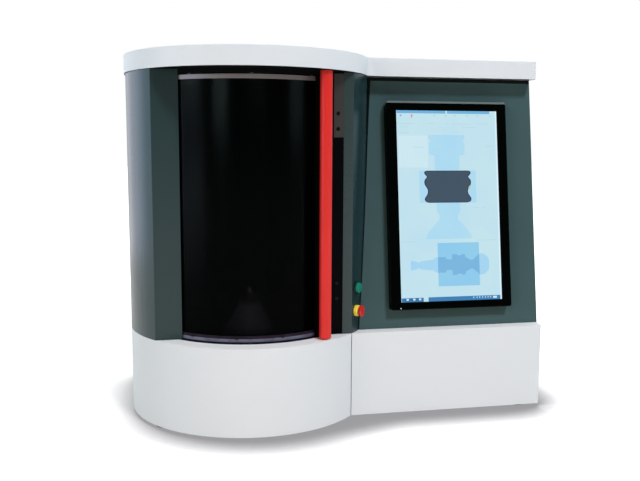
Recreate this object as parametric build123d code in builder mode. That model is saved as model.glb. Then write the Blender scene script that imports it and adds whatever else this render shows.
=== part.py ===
from build123d import *
from math import acos, asin, atan2, cos, degrees, radians, sin, sqrt
import os

# Shaft measuring machine: a drum with a sliding smoked-glass door holds the measuring unit,
# and a box beside it holds the computer behind a sloping panel with an upright touch screen.
# Millimetres. The origin is the middle of the footprint, at the soles of the feet.
# Plans are drawn about the drum's axis, u to the right and y to the back.

# Overall sizes
foot_height = 8
base_height = 205
body_height = 619
lid_height = 44
drum_radius = 298
lid_overhang = 3
box_reach = 725
base_front = 194
rear_reach = 290
rear_corner = 40
box_corner = 12
lid_front = 107.5
lid_fillet = 25
panel_foot = 161
panel_head = 66
cover_wall = 4
sheet = 3
sheet_gap = 0.3
seam_gap = 0.75
running_gap = 0.1
working_gap = 0.4

drum_x = (drum_radius + lid_overhang - box_reach) / 2
base_bottom = foot_height
base_top = foot_height + base_height
lid_bottom = base_top + body_height
lid_radius = drum_radius + lid_overhang
rear_sheet = rear_reach - cover_wall


def drum_level(height):
    # A level plane whose centre is on the drum's axis
    return Plane(origin=(drum_x, 0, height))


def drum_radial(angle, reach, height):
    # A plane facing outwards from the drum, its local x level and its local y upwards
    outward = (cos(radians(angle)), sin(radians(angle)), 0)
    level = (-sin(radians(angle)), cos(radians(angle)), 0)
    origin = (drum_x + reach * outward[0], reach * outward[1], height)
    return Plane(origin=origin, x_dir=level, z_dir=outward)


def seen_from_right(u):
    # An upright plane across the machine, its local x to the back and its local y upwards
    return Plane(origin=(drum_x + u, 0, 0), x_dir=(0, 1, 0), z_dir=(1, 0, 0))


def seen_from_front(y):
    # An upright plane along the machine, its local x to the right and its local y upwards
    return Plane(origin=(drum_x, y, 0), x_dir=(1, 0, 0), z_dir=(0, -1, 0))


def drum_outline(inset, right, rear):
    # Plan of the drum: round in front, straight on the left, one round corner at the back
    radius = drum_radius - inset
    corner = rear_corner - inset
    start = -degrees(acos(right / radius))
    with BuildSketch() as outline:
        with BuildLine():
            CenterArc((0, 0), radius, start, -180 - start)
            Line((-radius, 0), (-radius, rear - corner))
            CenterArc((-radius + corner, rear - corner), corner, 180, -90)
            Line((-radius + corner, rear), (right, rear))
            Line((right, rear), (right, -sqrt(radius**2 - right**2)))
        make_face()
    return outline.sketch


def ring_sector(inner, outer, start, end):
    # A flat band about the drum's axis between two radii and two angles
    with BuildSketch() as band:
        with BuildLine():
            CenterArc((0, 0), outer, start, end - start)
            CenterArc((0, 0), inner, start, end - start)
            for angle in (start, end):
                Line((inner * cos(radians(angle)), inner * sin(radians(angle))),
                     (outer * cos(radians(angle)), outer * sin(radians(angle))))
        make_face()
    return band.sketch


def span(left, right, low, high, mode=Mode.ADD):
    # A rectangle given by its edges
    with Locations(((left + right) / 2, (low + high) / 2)):
        Rectangle(right - left, high - low, mode=mode)


def finish(part, name):
    # Each piece is written under its own name
    part.label = name
    export_step(part, f"parts/{name}.step")


os.makedirs("parts", exist_ok=True)

# Base: levelling feet, base plate and machine bed
foot_radius = 26
foot_stud_radius = 8
foot_neck = 2
foot_inset_left = 83
foot_inset_right = 51
foot_inset_front = 44
foot_inset_rear = 55
foot_columns = (foot_inset_left - drum_radius, box_reach - foot_inset_right)
foot_rows = (foot_inset_front - base_front, rear_reach - foot_inset_rear)
plate_thickness = 8
foot_bevel = 2
plate_bottom = foot_height + foot_neck
plate_top = plate_bottom + plate_thickness

with BuildPart() as machine_feet:
    with BuildSketch(drum_level(0)):
        for u in foot_columns:
            for y in foot_rows:
                with Locations((u, y)):
                    Circle(foot_radius)
    extrude(amount=foot_height)
    chamfer(machine_feet.edges().group_by(Axis.Z)[-1], foot_bevel)
    with BuildSketch(drum_level(foot_height)):
        for u in foot_columns:
            for y in foot_rows:
                with Locations((u, y)):
                    Circle(foot_stud_radius)
    extrude(amount=foot_neck)
finish(machine_feet.part, "machine_feet")

plate_inset = cover_wall + sheet_gap
seam_u = sqrt(drum_radius**2 - base_front**2)

with BuildPart() as base_plate:
    with BuildSketch(drum_level(plate_bottom)):
        add(drum_outline(plate_inset, seam_u, rear_sheet - sheet_gap))
        span(seam_u, box_reach - plate_inset,
             -base_front + plate_inset, rear_sheet - sheet_gap)
    extrude(amount=plate_thickness)
    fillet(base_plate.edges().filter_by(Axis.Z).group_by(Axis.X)[-1], box_corner - plate_inset)
finish(base_plate.part, "base_plate")

bed_half = 150
bed_front = -90
bed_rear = 190
bed_drop = 27
bed_top = base_top - bed_drop
bed_height = bed_top - plate_top
belt_channel_half = 42
belt_channel_rear = 42
belt_channel_height = 50
bed_corner = 12
bed_wall = 15
bed_roof = 30
pocket_length = (bed_rear - bed_front - 3 * bed_wall) / 2
pocket_width = bed_half - belt_channel_half - 2 * bed_wall
pocket_u = belt_channel_half + bed_wall + pocket_width / 2
pocket_front = bed_front + bed_wall + pocket_length / 2
pocket_rear = bed_rear - bed_wall - pocket_length / 2
spindle_radius = 15
spindle_bore = 18

with BuildPart() as machine_bed:
    with BuildSketch(drum_level(plate_top)):
        span(-bed_half, bed_half, bed_front, bed_rear)
    extrude(amount=bed_height)
    fillet(machine_bed.edges().filter_by(Axis.Z), bed_corner)
    with BuildSketch(drum_level(plate_top)):
        span(-belt_channel_half, belt_channel_half, bed_front, belt_channel_rear)
    extrude(amount=belt_channel_height, mode=Mode.SUBTRACT)
    with BuildSketch(drum_level(plate_top)):
        for y in (pocket_front, pocket_rear):
            with Locations((-pocket_u, y), (pocket_u, y)):
                RectangleRounded(pocket_width, pocket_length, bed_corner)
        with Locations((0, pocket_rear)):
            RectangleRounded(2 * belt_channel_half, pocket_length, bed_corner)
    extrude(amount=bed_height - bed_roof, mode=Mode.SUBTRACT)
    with BuildSketch(drum_level(plate_top)):
        Circle(spindle_bore)
    extrude(amount=bed_height, mode=Mode.SUBTRACT)
finish(machine_bed.part, "machine_bed")

# Base covers: the round one carries a ledge in front of the door, the flat one a ledge
# in front of the sloping panel
ledge_width = 42
ledge_inner = drum_radius - ledge_width
ledge_rim = 2.5
ledge_rim_depth = 9
rim_start = -38
rim_end = -205
ledge_shortfall = 28
ledge_right = drum_radius - ledge_shortfall
ledge_rear_stop = -120
ledge_side = 31
panel_seat = 11
shell_return = 60.5
shell_front = drum_radius - shell_return

with BuildPart() as drum_base_cover:
    with BuildSketch(drum_level(base_bottom)):
        add(drum_outline(0, seam_u - seam_gap, rear_reach))
        add(drum_outline(cover_wall, seam_u + 2 * cover_wall, rear_reach - cover_wall), mode=Mode.SUBTRACT)
        span(-shell_front, drum_radius, 0, rear_reach + cover_wall, Mode.SUBTRACT)
    extrude(amount=base_height)
    with BuildSketch(drum_level(base_top - cover_wall)):
        add(drum_outline(0, ledge_right, rear_sheet))
        Circle(ledge_inner, mode=Mode.SUBTRACT)
        span(ledge_rear_stop, drum_radius, ledge_rear_stop, rear_reach + cover_wall, Mode.SUBTRACT)
    extrude(amount=cover_wall)
    with BuildSketch(drum_level(base_top - cover_wall - ledge_rim_depth)):
        add(ring_sector(ledge_inner, ledge_inner + ledge_rim, rim_start, rim_end))
    extrude(amount=ledge_rim_depth)
finish(drum_base_cover.part, "drum_base_cover")

with BuildPart() as box_base_cover:
    with BuildSketch(drum_level(base_bottom)):
        with BuildLine():
            FilletPolyline((seam_u + seam_gap, -base_front), (box_reach, -base_front),
                           (box_reach, rear_sheet), radius=box_corner)
            FilletPolyline((seam_u + seam_gap, -base_front + cover_wall),
                           (box_reach - cover_wall, -base_front + cover_wall),
                           (box_reach - cover_wall, rear_sheet), radius=box_corner - cover_wall)
            Line((seam_u + seam_gap, -base_front), (seam_u + seam_gap, -base_front + cover_wall))
            Line((box_reach, rear_sheet), (box_reach - cover_wall, rear_sheet))
        make_face()
    extrude(amount=base_height)
    with BuildSketch(drum_level(base_top - cover_wall)):
        with BuildLine():
            FilletPolyline((seam_u + seam_gap, -base_front), (box_reach, -base_front),
                           (box_reach, rear_sheet), radius=box_corner)
            Polyline((box_reach, rear_sheet), (box_reach - ledge_side, rear_sheet),
                     (box_reach - ledge_side, -panel_foot + panel_seat),
                     (seam_u + seam_gap, -panel_foot + panel_seat),
                     (seam_u + seam_gap, -base_front))
        make_face()
    extrude(amount=cover_wall)
    with BuildSketch(drum_level(base_bottom)):
        Circle(drum_radius + sheet_gap)
    extrude(amount=base_height, mode=Mode.SUBTRACT)
finish(box_base_cover.part, "box_base_cover")

# Lid: one moulded tray over drum and box, closed from below by the roof plate
lid_rear_overhang = 11
lid_corner = 6
lid_edge = 2


def lid_outline(inset):
    # Round over the drum, a hollow curve into the straight front of the box
    radius = lid_radius - inset
    front = lid_front - inset
    hollow = lid_fillet + inset
    right = box_reach - inset
    rear = rear_reach + lid_rear_overhang - inset
    corner = rear_corner + lid_overhang - inset
    edge = lid_corner - inset / 2
    centre_u = sqrt((radius + hollow)**2 - (front + hollow)**2)
    meet = -degrees(atan2(front + hollow, centre_u))
    with BuildSketch() as outline:
        with BuildLine():
            CenterArc((0, 0), radius, meet, -180 - meet)
            Line((-radius, 0), (-radius, rear - corner))
            CenterArc((-radius + corner, rear - corner), corner, 180, -90)
            FilletPolyline((-radius + corner, rear), (right, rear), (right, -front),
                           (centre_u, -front), radius=edge)
            CenterArc((centre_u, -front - hollow), hollow, 90, 90 + meet)
        make_face()
    return outline.sketch


with BuildPart() as top_lid:
    with BuildSketch(drum_level(lid_bottom)):
        add(lid_outline(0))
    extrude(amount=lid_height)
    fillet(top_lid.edges().group_by(Axis.Z)[-1], lid_edge)
    with BuildSketch(drum_level(lid_bottom)):
        add(lid_outline(cover_wall))
    extrude(amount=lid_height - cover_wall, mode=Mode.SUBTRACT)
finish(top_lid.part, "top_lid")

with BuildPart() as roof_plate:
    with BuildSketch(drum_level(lid_bottom)):
        add(lid_outline(cover_wall + sheet_gap))
    extrude(amount=cover_wall)
finish(roof_plate.part, "roof_plate")

# Body: the left shell with its folded door jamb, the wall beside the panel that carries
# the controls, the sloping front panel, the right side and the rear panel
jamb_left_setback = 122
jamb_right_setback = 95
jamb_left_inner = drum_radius - jamb_left_setback
jamb_right_inner = drum_radius - jamb_right_setback
jamb_right_front = base_front
shell_corner_y = sqrt(drum_radius**2 - shell_front**2)

with BuildPart() as left_shell:
    with BuildSketch(drum_level(base_top)):
        add(drum_outline(0, seam_u, rear_reach))
        add(drum_outline(sheet, seam_u, rear_reach - sheet), mode=Mode.SUBTRACT)
        span(-shell_front, drum_radius, -drum_radius, rear_reach + sheet, Mode.SUBTRACT)
        span(-shell_front, -jamb_left_inner, -shell_corner_y, -shell_corner_y + sheet)
    extrude(amount=body_height)
finish(left_shell.part, "left_shell")

partition_u = sqrt(drum_radius**2 - panel_head**2)
wall_corner_u = sqrt(drum_radius**2 - jamb_right_front**2)
control_offset = 22
control_angle = degrees(control_offset / drum_radius - asin(jamb_right_front / drum_radius))
start_button_rise = 109
start_button_height = base_top + start_button_rise
estop_rise = 52.5
estop_height = base_top + estop_rise
control_hole = 10.3

with BuildPart() as control_wall:
    with BuildSketch(drum_level(base_top)):
        Circle(drum_radius)
        Circle(drum_radius - sheet, mode=Mode.SUBTRACT)
        span(-drum_radius, wall_corner_u, -drum_radius, drum_radius, Mode.SUBTRACT)
        span(0, drum_radius, -panel_head, drum_radius, Mode.SUBTRACT)
        span(jamb_right_inner, wall_corner_u, -jamb_right_front, -jamb_right_front + sheet)
        span(partition_u - sheet, partition_u, -panel_head, rear_sheet)
    extrude(amount=body_height)
    for height in (start_button_height, estop_height):
        with BuildSketch(drum_radial(control_angle, drum_radius - 3 * sheet, height)):
            Circle(control_hole)
        extrude(amount=4 * sheet, mode=Mode.SUBTRACT)
finish(control_wall.part, "control_wall")

post_width = 38
post_left = jamb_right_inner - post_width
post_depth = 6
bracket_width = 24
bracket_left = jamb_right_inner - bracket_width
bracket_length = 146
bracket_top_gap = 4
bracket_top = lid_bottom - bracket_top_gap
bracket_thickness = 1

with BuildPart() as door_post:
    with BuildSketch(drum_level(base_top)):
        span(post_left, jamb_right_inner, -jamb_right_front, -jamb_right_front + post_depth)
    extrude(amount=body_height)
finish(door_post.part, "door_post")

with BuildPart() as post_bracket:
    with BuildSketch(drum_level(bracket_top)):
        span(bracket_left, jamb_right_inner, -jamb_right_front - bracket_thickness, -jamb_right_front)
    extrude(amount=-bracket_length)
finish(post_bracket.part, "post_bracket")

# The panel leans back; its own plane has x to the right and y up the slope
panel_lean = atan2(panel_foot - panel_head, body_height)
panel_plane = Plane(origin=(drum_x, -panel_foot, base_top), x_dir=(1, 0, 0),
                    z_dir=(0, -cos(panel_lean), sin(panel_lean)))
panel_depth_across = sheet / cos(panel_lean)

with BuildPart() as front_panel:
    with BuildSketch(seen_from_right(0)):
        Polygon((-panel_foot, base_top), (-panel_head, lid_bottom),
                (-panel_head + panel_depth_across, lid_bottom),
                (-panel_foot + panel_depth_across, base_top), align=None)
    extrude(amount=box_reach)
    with BuildSketch(drum_level(base_top)):
        Circle(drum_radius + sheet_gap)
    extrude(amount=body_height, mode=Mode.SUBTRACT)
finish(front_panel.part, "front_panel")

with BuildPart() as right_side_panel:
    with BuildSketch(seen_from_right(box_reach - sheet)):
        Polygon((-panel_foot + panel_depth_across, base_top),
                (-panel_head + panel_depth_across, lid_bottom),
                (rear_sheet, lid_bottom), (rear_sheet, base_top), align=None)
    extrude(amount=sheet)
finish(right_side_panel.part, "right_side_panel")

# Rear panel with louvres over the box, a fan grille and a window for the connections
fan_inset = 111
fan_u = box_reach - fan_inset
fan_drop = 192
fan_height = lid_bottom - fan_drop
fan_radius = 43
grille_bar = 4
grille_slot = 5
window_width = 150
window_inset = 151
window_left = box_reach - window_inset - window_width
window_rise = 37
window_bottom = base_top + window_rise
window_height = 80
vent_count = 9
vent_pitch = 14
vent_width = 110
vent_slot = 5
vent_fan_offset = 230
vent_u = fan_u - vent_fan_offset
vent_bottom = fan_height - vent_count * vent_pitch / 2

with BuildPart() as rear_panel:
    with BuildSketch(seen_from_front(rear_reach)):
        span(-shell_front + sheet_gap, box_reach, base_bottom, lid_bottom)
        span(window_left, window_left + window_width, window_bottom,
             window_bottom + window_height, Mode.SUBTRACT)
        for row in range(vent_count):
            with Locations((vent_u, vent_bottom + row * vent_pitch)):
                SlotOverall(vent_width, vent_slot, mode=Mode.SUBTRACT)
        for row in range(-4, 5):
            half_chord = sqrt(fan_radius**2 - (row * (grille_bar + grille_slot))**2)
            with Locations((fan_u, fan_height + row * (grille_bar + grille_slot))):
                SlotOverall(2 * half_chord, grille_slot, mode=Mode.SUBTRACT)
    extrude(amount=cover_wall)
finish(rear_panel.part, "rear_panel")

plate_margin = 8
inlet_inset = 38
inlet_u = window_left + inlet_inset
inlet_height = window_bottom + window_height / 2
inlet_width = 28
inlet_tall = 48
inlet_depth = 32
inlet_proud = 2
switch_rise = 13
socket_width = 22
socket_tall = 15
socket_depth = 14
socket_drop = 10
pin_count = 3
pin_pitch = 7
pin_length = 8
port_first = 75
port_pitch = 25
port_rise = 14
port_width = 16
port_tall = 13
port_low = 8
port_corner = 2
port_columns = 3

with BuildPart() as connection_plate:
    with BuildSketch(seen_from_front(rear_sheet)):
        span(window_left - plate_margin, window_left + window_width + plate_margin,
             window_bottom - plate_margin, window_bottom + window_height + plate_margin)
        span(inlet_u - inlet_width / 2 - sheet_gap, inlet_u + inlet_width / 2 + sheet_gap,
             inlet_height - inlet_tall / 2 - sheet_gap, inlet_height + inlet_tall / 2 + sheet_gap,
             Mode.SUBTRACT)
    extrude(amount=sheet)
    with BuildSketch(seen_from_front(rear_sheet)):
        for port in range(port_columns):
            port_u = window_left + port_first + port * port_pitch
            with Locations((port_u, inlet_height + port_rise)):
                RectangleRounded(port_width, port_tall, port_corner)
            with Locations((port_u, inlet_height - port_rise)):
                RectangleRounded(port_width, port_low, port_corner)
    extrude(amount=-cover_wall / 2)
finish(connection_plate.part, "connection_plate")

socket_centre = inlet_height - socket_drop
switch_centre = inlet_height + switch_rise
rocker_width = 17
rocker_tall = 13
rocker_tilt = radians(10)
rocker_clearance = 1
rocker_back = 5
rocker_rim = 3
rocker_hollow = 1.6
rocker_axle = 1.5
rocker_axle_length = 3
rocker_well = 12
inlet_face = rear_sheet + inlet_proud
axle_y = inlet_face - 2.5
inlet_corner = 3

with BuildPart() as power_inlet:
    with BuildSketch(seen_from_front(inlet_face)):
        with Locations((inlet_u, inlet_height)):
            RectangleRounded(inlet_width + 2 * plate_margin, inlet_tall + plate_margin, inlet_corner)
    extrude(amount=inlet_proud)
    with BuildSketch(seen_from_front(rear_sheet)):
        with Locations((inlet_u, inlet_height)):
            Rectangle(inlet_width, inlet_tall)
    extrude(amount=inlet_depth)
    with BuildSketch(seen_from_front(inlet_face)):
        with Locations((inlet_u, socket_centre)):
            RectangleRounded(socket_width, socket_tall, inlet_corner)
    extrude(amount=socket_depth, mode=Mode.SUBTRACT)
    with BuildSketch(seen_from_front(inlet_face - socket_depth + pin_length)):
        for pin in range(pin_count):
            with Locations((inlet_u + (pin - 1) * pin_pitch, socket_centre)):
                Rectangle(pin_pitch / 4, pin_pitch / 2)
    extrude(amount=pin_length)
    with BuildSketch(seen_from_front(inlet_face)):
        with Locations((inlet_u, switch_centre)):
            Rectangle(rocker_width + 2 * working_gap, rocker_tall + 2 * working_gap)
    extrude(amount=rocker_well, mode=Mode.SUBTRACT)
    with BuildSketch(seen_from_right(inlet_u)):
        with Locations((axle_y, switch_centre)):
            Circle(rocker_axle + running_gap)
    extrude(amount=rocker_width / 2 + rocker_axle_length + working_gap, both=True, mode=Mode.SUBTRACT)
finish(power_inlet.part, "power_inlet")

# Rocker of the mains switch, tipped to off about its level axle
with BuildPart() as power_switch:
    tipped_plane = Plane(origin=(drum_x + inlet_u, axle_y, switch_centre),
                         x_dir=(0, cos(rocker_tilt), sin(rocker_tilt)), z_dir=(1, 0, 0))
    half_tall = rocker_tall / 2 - rocker_clearance
    with BuildSketch(tipped_plane):
        with BuildLine():
            ThreePointArc((rocker_rim, -half_tall), (rocker_hollow, 0), (rocker_rim, half_tall))
            Polyline((rocker_rim, half_tall), (-rocker_back, half_tall),
                     (-rocker_back, -half_tall), (rocker_rim, -half_tall))
        make_face()
    extrude(amount=rocker_width / 2, both=True)
    with BuildSketch(tipped_plane):
        Circle(rocker_axle)
    extrude(amount=rocker_width / 2 + rocker_axle_length, both=True)
finish(power_switch.part, "power_switch")

# Door tracks: a groove under the lid for the rollers and one behind the ledge for the
# foot of the door. The door travels to the left, round behind the left shell.
door_setback = 9
door_radius = ledge_inner - door_setback
glass_thickness = 4
rail_thickness = 7
rail_mid = door_radius - glass_thickness / 2
rail_outer = rail_mid + rail_thickness / 2
post_gap = 3.6
jamb_overlap = 9
door_right = -degrees(acos((post_left - post_gap) / rail_outer))
door_left = degrees(acos((jamb_left_inner + jamb_overlap) / door_radius)) - 180
door_travel = 75
track_run_out = 1.5
track_lead = 3.5
track_start = door_right + track_lead
track_end = door_left - door_travel - track_run_out
upper_track_start = door_right - track_run_out
track_inward = 11
track_inner = door_radius - track_inward
track_drop = 6
lower_track_top = base_top - track_drop
lower_track_depth = 15
track_outward = 6
upper_track_outer = door_radius + track_outward
upper_track_depth = 10.5
track_end_wall = 1
groove_half = rail_thickness / 2 + working_gap
roller_radius = 2.6
roller_groove_half = roller_radius + sheet_gap

with BuildPart() as door_tracks:
    with BuildSketch(drum_level(bed_top + cover_wall)):
        add(ring_sector(track_inner, ledge_inner - sheet_gap, track_start, track_end))
    extrude(amount=lower_track_top - bed_top - cover_wall)
    with BuildSketch(drum_level(lower_track_top)):
        add(ring_sector(rail_mid - groove_half, rail_mid + groove_half,
                        track_start + track_end_wall, track_end - track_end_wall))
    extrude(amount=-lower_track_depth, mode=Mode.SUBTRACT)
    with BuildSketch(drum_level(lid_bottom)):
        add(ring_sector(track_inner, upper_track_outer, upper_track_start, track_end))
        span(-shell_front, -jamb_left_inner + sheet_gap, -drum_radius,
             -shell_corner_y + sheet + sheet_gap, Mode.SUBTRACT)
    extrude(amount=-upper_track_depth)
    with BuildSketch(drum_level(lid_bottom - upper_track_depth)):
        add(ring_sector(rail_mid - roller_groove_half, rail_mid + roller_groove_half,
                        upper_track_start + track_end_wall, track_end - track_end_wall))
    extrude(amount=upper_track_depth - sheet, mode=Mode.SUBTRACT)
finish(door_tracks.part, "door_tracks")

# Measuring chamber floor, notched for the foot of the column
column_half = 60
column_front = 90
column_rear = 180
column_wall = 12
column_flange = 20
column_flange_height = 18
column_headroom = 20
column_top = lid_bottom - column_headroom
column_bevel = 2
floor_rear_gap = 4
floor_rear = bed_rear - floor_rear_gap
headstock_flange = 65

with BuildPart() as chamber_floor:
    with BuildSketch(drum_level(bed_top)):
        Circle(ledge_inner - sheet_gap)
        span(-drum_radius, drum_radius, floor_rear, drum_radius, Mode.SUBTRACT)
        span(-column_half - column_flange - sheet_gap, column_half + column_flange + sheet_gap,
             column_front - column_flange - sheet_gap, drum_radius, Mode.SUBTRACT)
        Circle(headstock_flange + sheet_gap, mode=Mode.SUBTRACT)
    extrude(amount=cover_wall)
finish(chamber_floor.part, "chamber_floor")

# Column with its guide rails, the scale and the bearings of the lifting screw
with BuildPart() as column:
    with BuildSketch(drum_level(bed_top)):
        span(-column_half - column_flange, column_half + column_flange,
             column_front - column_flange, bed_rear)
    extrude(amount=column_flange_height)
    with BuildSketch(drum_level(bed_top)):
        span(-column_half, column_half, column_front, column_rear)
    extrude(amount=column_top - bed_top)
    with BuildSketch(drum_level(bed_top)):
        span(-column_half + column_wall, column_half - column_wall,
             column_front + column_wall, column_rear - column_wall)
    extrude(amount=column_top - bed_top - column_wall, mode=Mode.SUBTRACT)
    chamfer(column.edges().filter_by(Axis.Z).sort_by(SortBy.LENGTH)[-8:], column_bevel)
finish(column.part, "column")

column_mid = (column_front + column_rear) / 2
rail_height = 12
rail_half = 7.5
rail_rise = 36
rail_bottom = bed_top + rail_rise
rail_length = 478
rail_top = rail_bottom + rail_length
tail_rail_length = 475
tail_rail_gap = 7
tail_rail_top = column_top - tail_rail_gap
tail_rail_bottom = tail_rail_top - tail_rail_length
tail_rail_half = 10
rail_waist = 0.72
rail_foot = 0.3
rail_head = 0.75


def guide_section(half, height):
    # A profiled guide rail: a waisted head on a broad foot, drawn pointing along y
    waist = half * rail_waist
    Polygon((-half, 0), (half, 0), (half, height * rail_foot), (waist, height / 2),
            (half, height * rail_head), (half, height), (-half, height), (-half, height * rail_head),
            (-waist, height / 2), (-half, height * rail_foot), align=None)


with BuildPart() as guide_rails:
    for side in (-1, 1):
        side_plane = Plane(origin=(drum_x + side * column_half, column_mid, rail_bottom),
                           x_dir=(0, -side, 0), z_dir=(0, 0, 1))
        with BuildSketch(side_plane):
            guide_section(rail_half, rail_height)
        extrude(amount=rail_top - rail_bottom)
    front_plane = Plane(origin=(drum_x, column_front, tail_rail_bottom), x_dir=(-1, 0, 0), z_dir=(0, 0, 1))
    with BuildSketch(front_plane):
        guide_section(tail_rail_half, rail_height)
    extrude(amount=tail_rail_top - tail_rail_bottom)
finish(guide_rails.part, "guide_rails")

scale_thickness = 7
scale_near = 96
scale_far = 110

with BuildPart() as linear_scale:
    with BuildSketch(drum_level(rail_bottom)):
        span(-column_half - scale_thickness, -column_half, scale_near, scale_far)
    extrude(amount=rail_top - rail_bottom)
finish(linear_scale.part, "linear_scale")

screw_y = 226
screw_radius = 8
bearing_half = 24
bearing_height = 20
bearing_rail_offset = 16
lower_bearing = rail_bottom - bearing_rail_offset
bearing_spacing = 486
upper_bearing = lower_bearing + bearing_spacing
screw_tail = 34
screw_head = 4
screw_shoulder = 1
screw_bottom = lower_bearing - screw_tail
screw_top = upper_bearing + bearing_height + screw_head
journal_radius = 6
bearing_corner = 8

with BuildPart() as screw_bearing_blocks:
    for level in (lower_bearing, upper_bearing):
        with BuildSketch(drum_level(level)):
            span(-bearing_half, bearing_half, column_rear, screw_y + bearing_half)
            with Locations((0, screw_y)):
                Circle(journal_radius + running_gap, mode=Mode.SUBTRACT)
        extrude(amount=bearing_height)
    fillet(screw_bearing_blocks.edges().filter_by(Axis.Z).group_by(Axis.Y)[-1], bearing_corner)
finish(screw_bearing_blocks.part, "screw_bearing_blocks")

coupling_radius = 15
coupling_length = 22
motor_half = 28
motor_length = 100
motor_flange = 6
motor_shaft = 5
motor_corner = 5
motor_clearance = 4

with BuildPart() as ball_screw:
    with BuildSketch(drum_level(lower_bearing + bearing_height + screw_shoulder)):
        with Locations((0, screw_y)):
            Circle(screw_radius)
    extrude(amount=bearing_spacing - bearing_height - 2 * screw_shoulder)
    with BuildSketch(drum_level(screw_bottom)):
        with Locations((0, screw_y)):
            Circle(journal_radius)
    extrude(amount=screw_top - screw_bottom)
    with BuildSketch(drum_level(screw_bottom)):
        with Locations((0, screw_y)):
            Circle(coupling_radius)
    extrude(amount=coupling_length)
    with BuildSketch(drum_level(screw_bottom)):
        with Locations((0, screw_y)):
            Circle(motor_shaft)
    extrude(amount=-4 * motor_flange)
finish(ball_screw.part, "ball_screw")

motor_top = screw_bottom - motor_clearance

with BuildPart() as lift_motor:
    with BuildSketch(drum_level(motor_top)):
        span(-motor_half, motor_half, bed_rear, screw_y + motor_half)
    extrude(amount=-motor_flange)
    with BuildSketch(drum_level(motor_top - motor_flange)):
        with Locations((0, screw_y)):
            RectangleRounded(2 * motor_half, 2 * motor_half, motor_corner)
    extrude(amount=-motor_length)
    with BuildSketch(drum_level(motor_top)):
        with Locations((0, screw_y)):
            Circle(motor_shaft + running_gap)
    extrude(amount=-5 * motor_flange, mode=Mode.SUBTRACT)
finish(lift_motor.part, "lift_motor")

# Headstock: a conical housing, the spindle through the bed, the lower centre with its driver
headstock_foot = 14
headstock_height = 76
headstock_top = bed_top + headstock_height
headstock_neck = 30
headstock_step = 7
headstock_collar = 8
nose_radius = 22
nose_height = 10
centre_radius = 10
centre_rise = 43
centre_tip = headstock_top + centre_rise
shank_radius = 6
shank_length = 12
pulley_radius = 30
pulley_rise = 16
pulley_bottom = plate_top + pulley_rise
pulley_height = 16
nose_bottom = headstock_top + 2 * running_gap
nose_top = nose_bottom + nose_height

with BuildPart() as headstock_housing:
    with BuildSketch(seen_from_front(0)):
        with BuildLine():
            Polyline((spindle_radius + running_gap, bed_top), (headstock_flange, bed_top),
                     (headstock_flange, bed_top + headstock_foot),
                     (headstock_flange - headstock_step, bed_top + headstock_foot),
                     (headstock_neck, headstock_top - headstock_collar), (headstock_neck, headstock_top),
                     (spindle_radius + running_gap, headstock_top),
                     (spindle_radius + running_gap, bed_top))
        make_face()
    revolve(axis=Axis((drum_x, 0, 0), (0, 0, 1)))
finish(headstock_housing.part, "headstock_housing")

with BuildPart() as spindle:
    with BuildSketch(seen_from_front(0)):
        with BuildLine():
            Polyline((0, pulley_bottom), (pulley_radius, pulley_bottom),
                     (pulley_radius, pulley_bottom + pulley_height),
                     (spindle_radius, pulley_bottom + pulley_height),
                     (spindle_radius, nose_bottom), (nose_radius, nose_bottom),
                     (nose_radius, nose_top), (shank_radius + running_gap, nose_top),
                     (shank_radius + running_gap, nose_top - shank_length - 1),
                     (0, nose_top - shank_length - 1), (0, pulley_bottom))
        make_face()
    revolve(axis=Axis((drum_x, 0, 0), (0, 0, 1)))
finish(spindle.part, "spindle")

driver_reach = 19
driver_radius = 2.5
driver_height = 22
driver_plate = 5

with BuildPart() as lower_centre:
    with BuildSketch(seen_from_front(0)):
        with BuildLine():
            Polyline((0, nose_top - shank_length), (shank_radius, nose_top - shank_length),
                     (shank_radius, nose_top), (centre_radius, nose_top),
                     (centre_radius, centre_tip - centre_radius * sqrt(3)),
                     (0, centre_tip), (0, nose_top - shank_length))
        make_face()
    revolve(axis=Axis((drum_x, 0, 0), (0, 0, 1)))
    with BuildSketch(drum_level(nose_top)):
        with Locations((driver_reach / 2, 0)):
            SlotOverall(driver_reach + 2 * driver_plate, 2 * driver_plate)
        Circle(shank_radius, mode=Mode.SUBTRACT)
    extrude(amount=driver_plate)
    with BuildSketch(drum_level(nose_top)):
        with Locations((driver_reach, 0)):
            Circle(driver_radius)
    extrude(amount=driver_height)
finish(lower_centre.part, "lower_centre")

# Spindle drive: a motor on a bracket at the front of the bed, its pulley and the flat belt
drive_y = -170
drive_half = 30
drive_height = 80
drive_plate = 6
drive_plate_rise = 36
drive_plate_bottom = plate_top + drive_plate_rise
drive_corner = 6
bracket_half = 50
bracket_rise = 50
drive_pulley_radius = 18
belt_thickness = 2
belt_gap = 0.3
belt_width = 12

with BuildPart() as spindle_motor:
    with BuildSketch(drum_level(drive_plate_bottom)):
        span(-drive_half, drive_half, drive_y - drive_half, bed_front)
        span(-bracket_half, bracket_half, bed_front - drive_plate, bed_front)
    extrude(amount=drive_plate)
    with BuildSketch(drum_level(drive_plate_bottom)):
        span(-bracket_half, bracket_half, bed_front - drive_plate, bed_front)
    extrude(amount=bracket_rise)
    with BuildSketch(drum_level(drive_plate_bottom + drive_plate)):
        with Locations((0, drive_y)):
            RectangleRounded(2 * drive_half, 2 * drive_half, drive_corner)
    extrude(amount=drive_height)
    with BuildSketch(drum_level(drive_plate_bottom)):
        with Locations((0, drive_y)):
            Circle(motor_shaft + running_gap)
    extrude(amount=5 * drive_plate, mode=Mode.SUBTRACT)
finish(spindle_motor.part, "spindle_motor")

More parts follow.
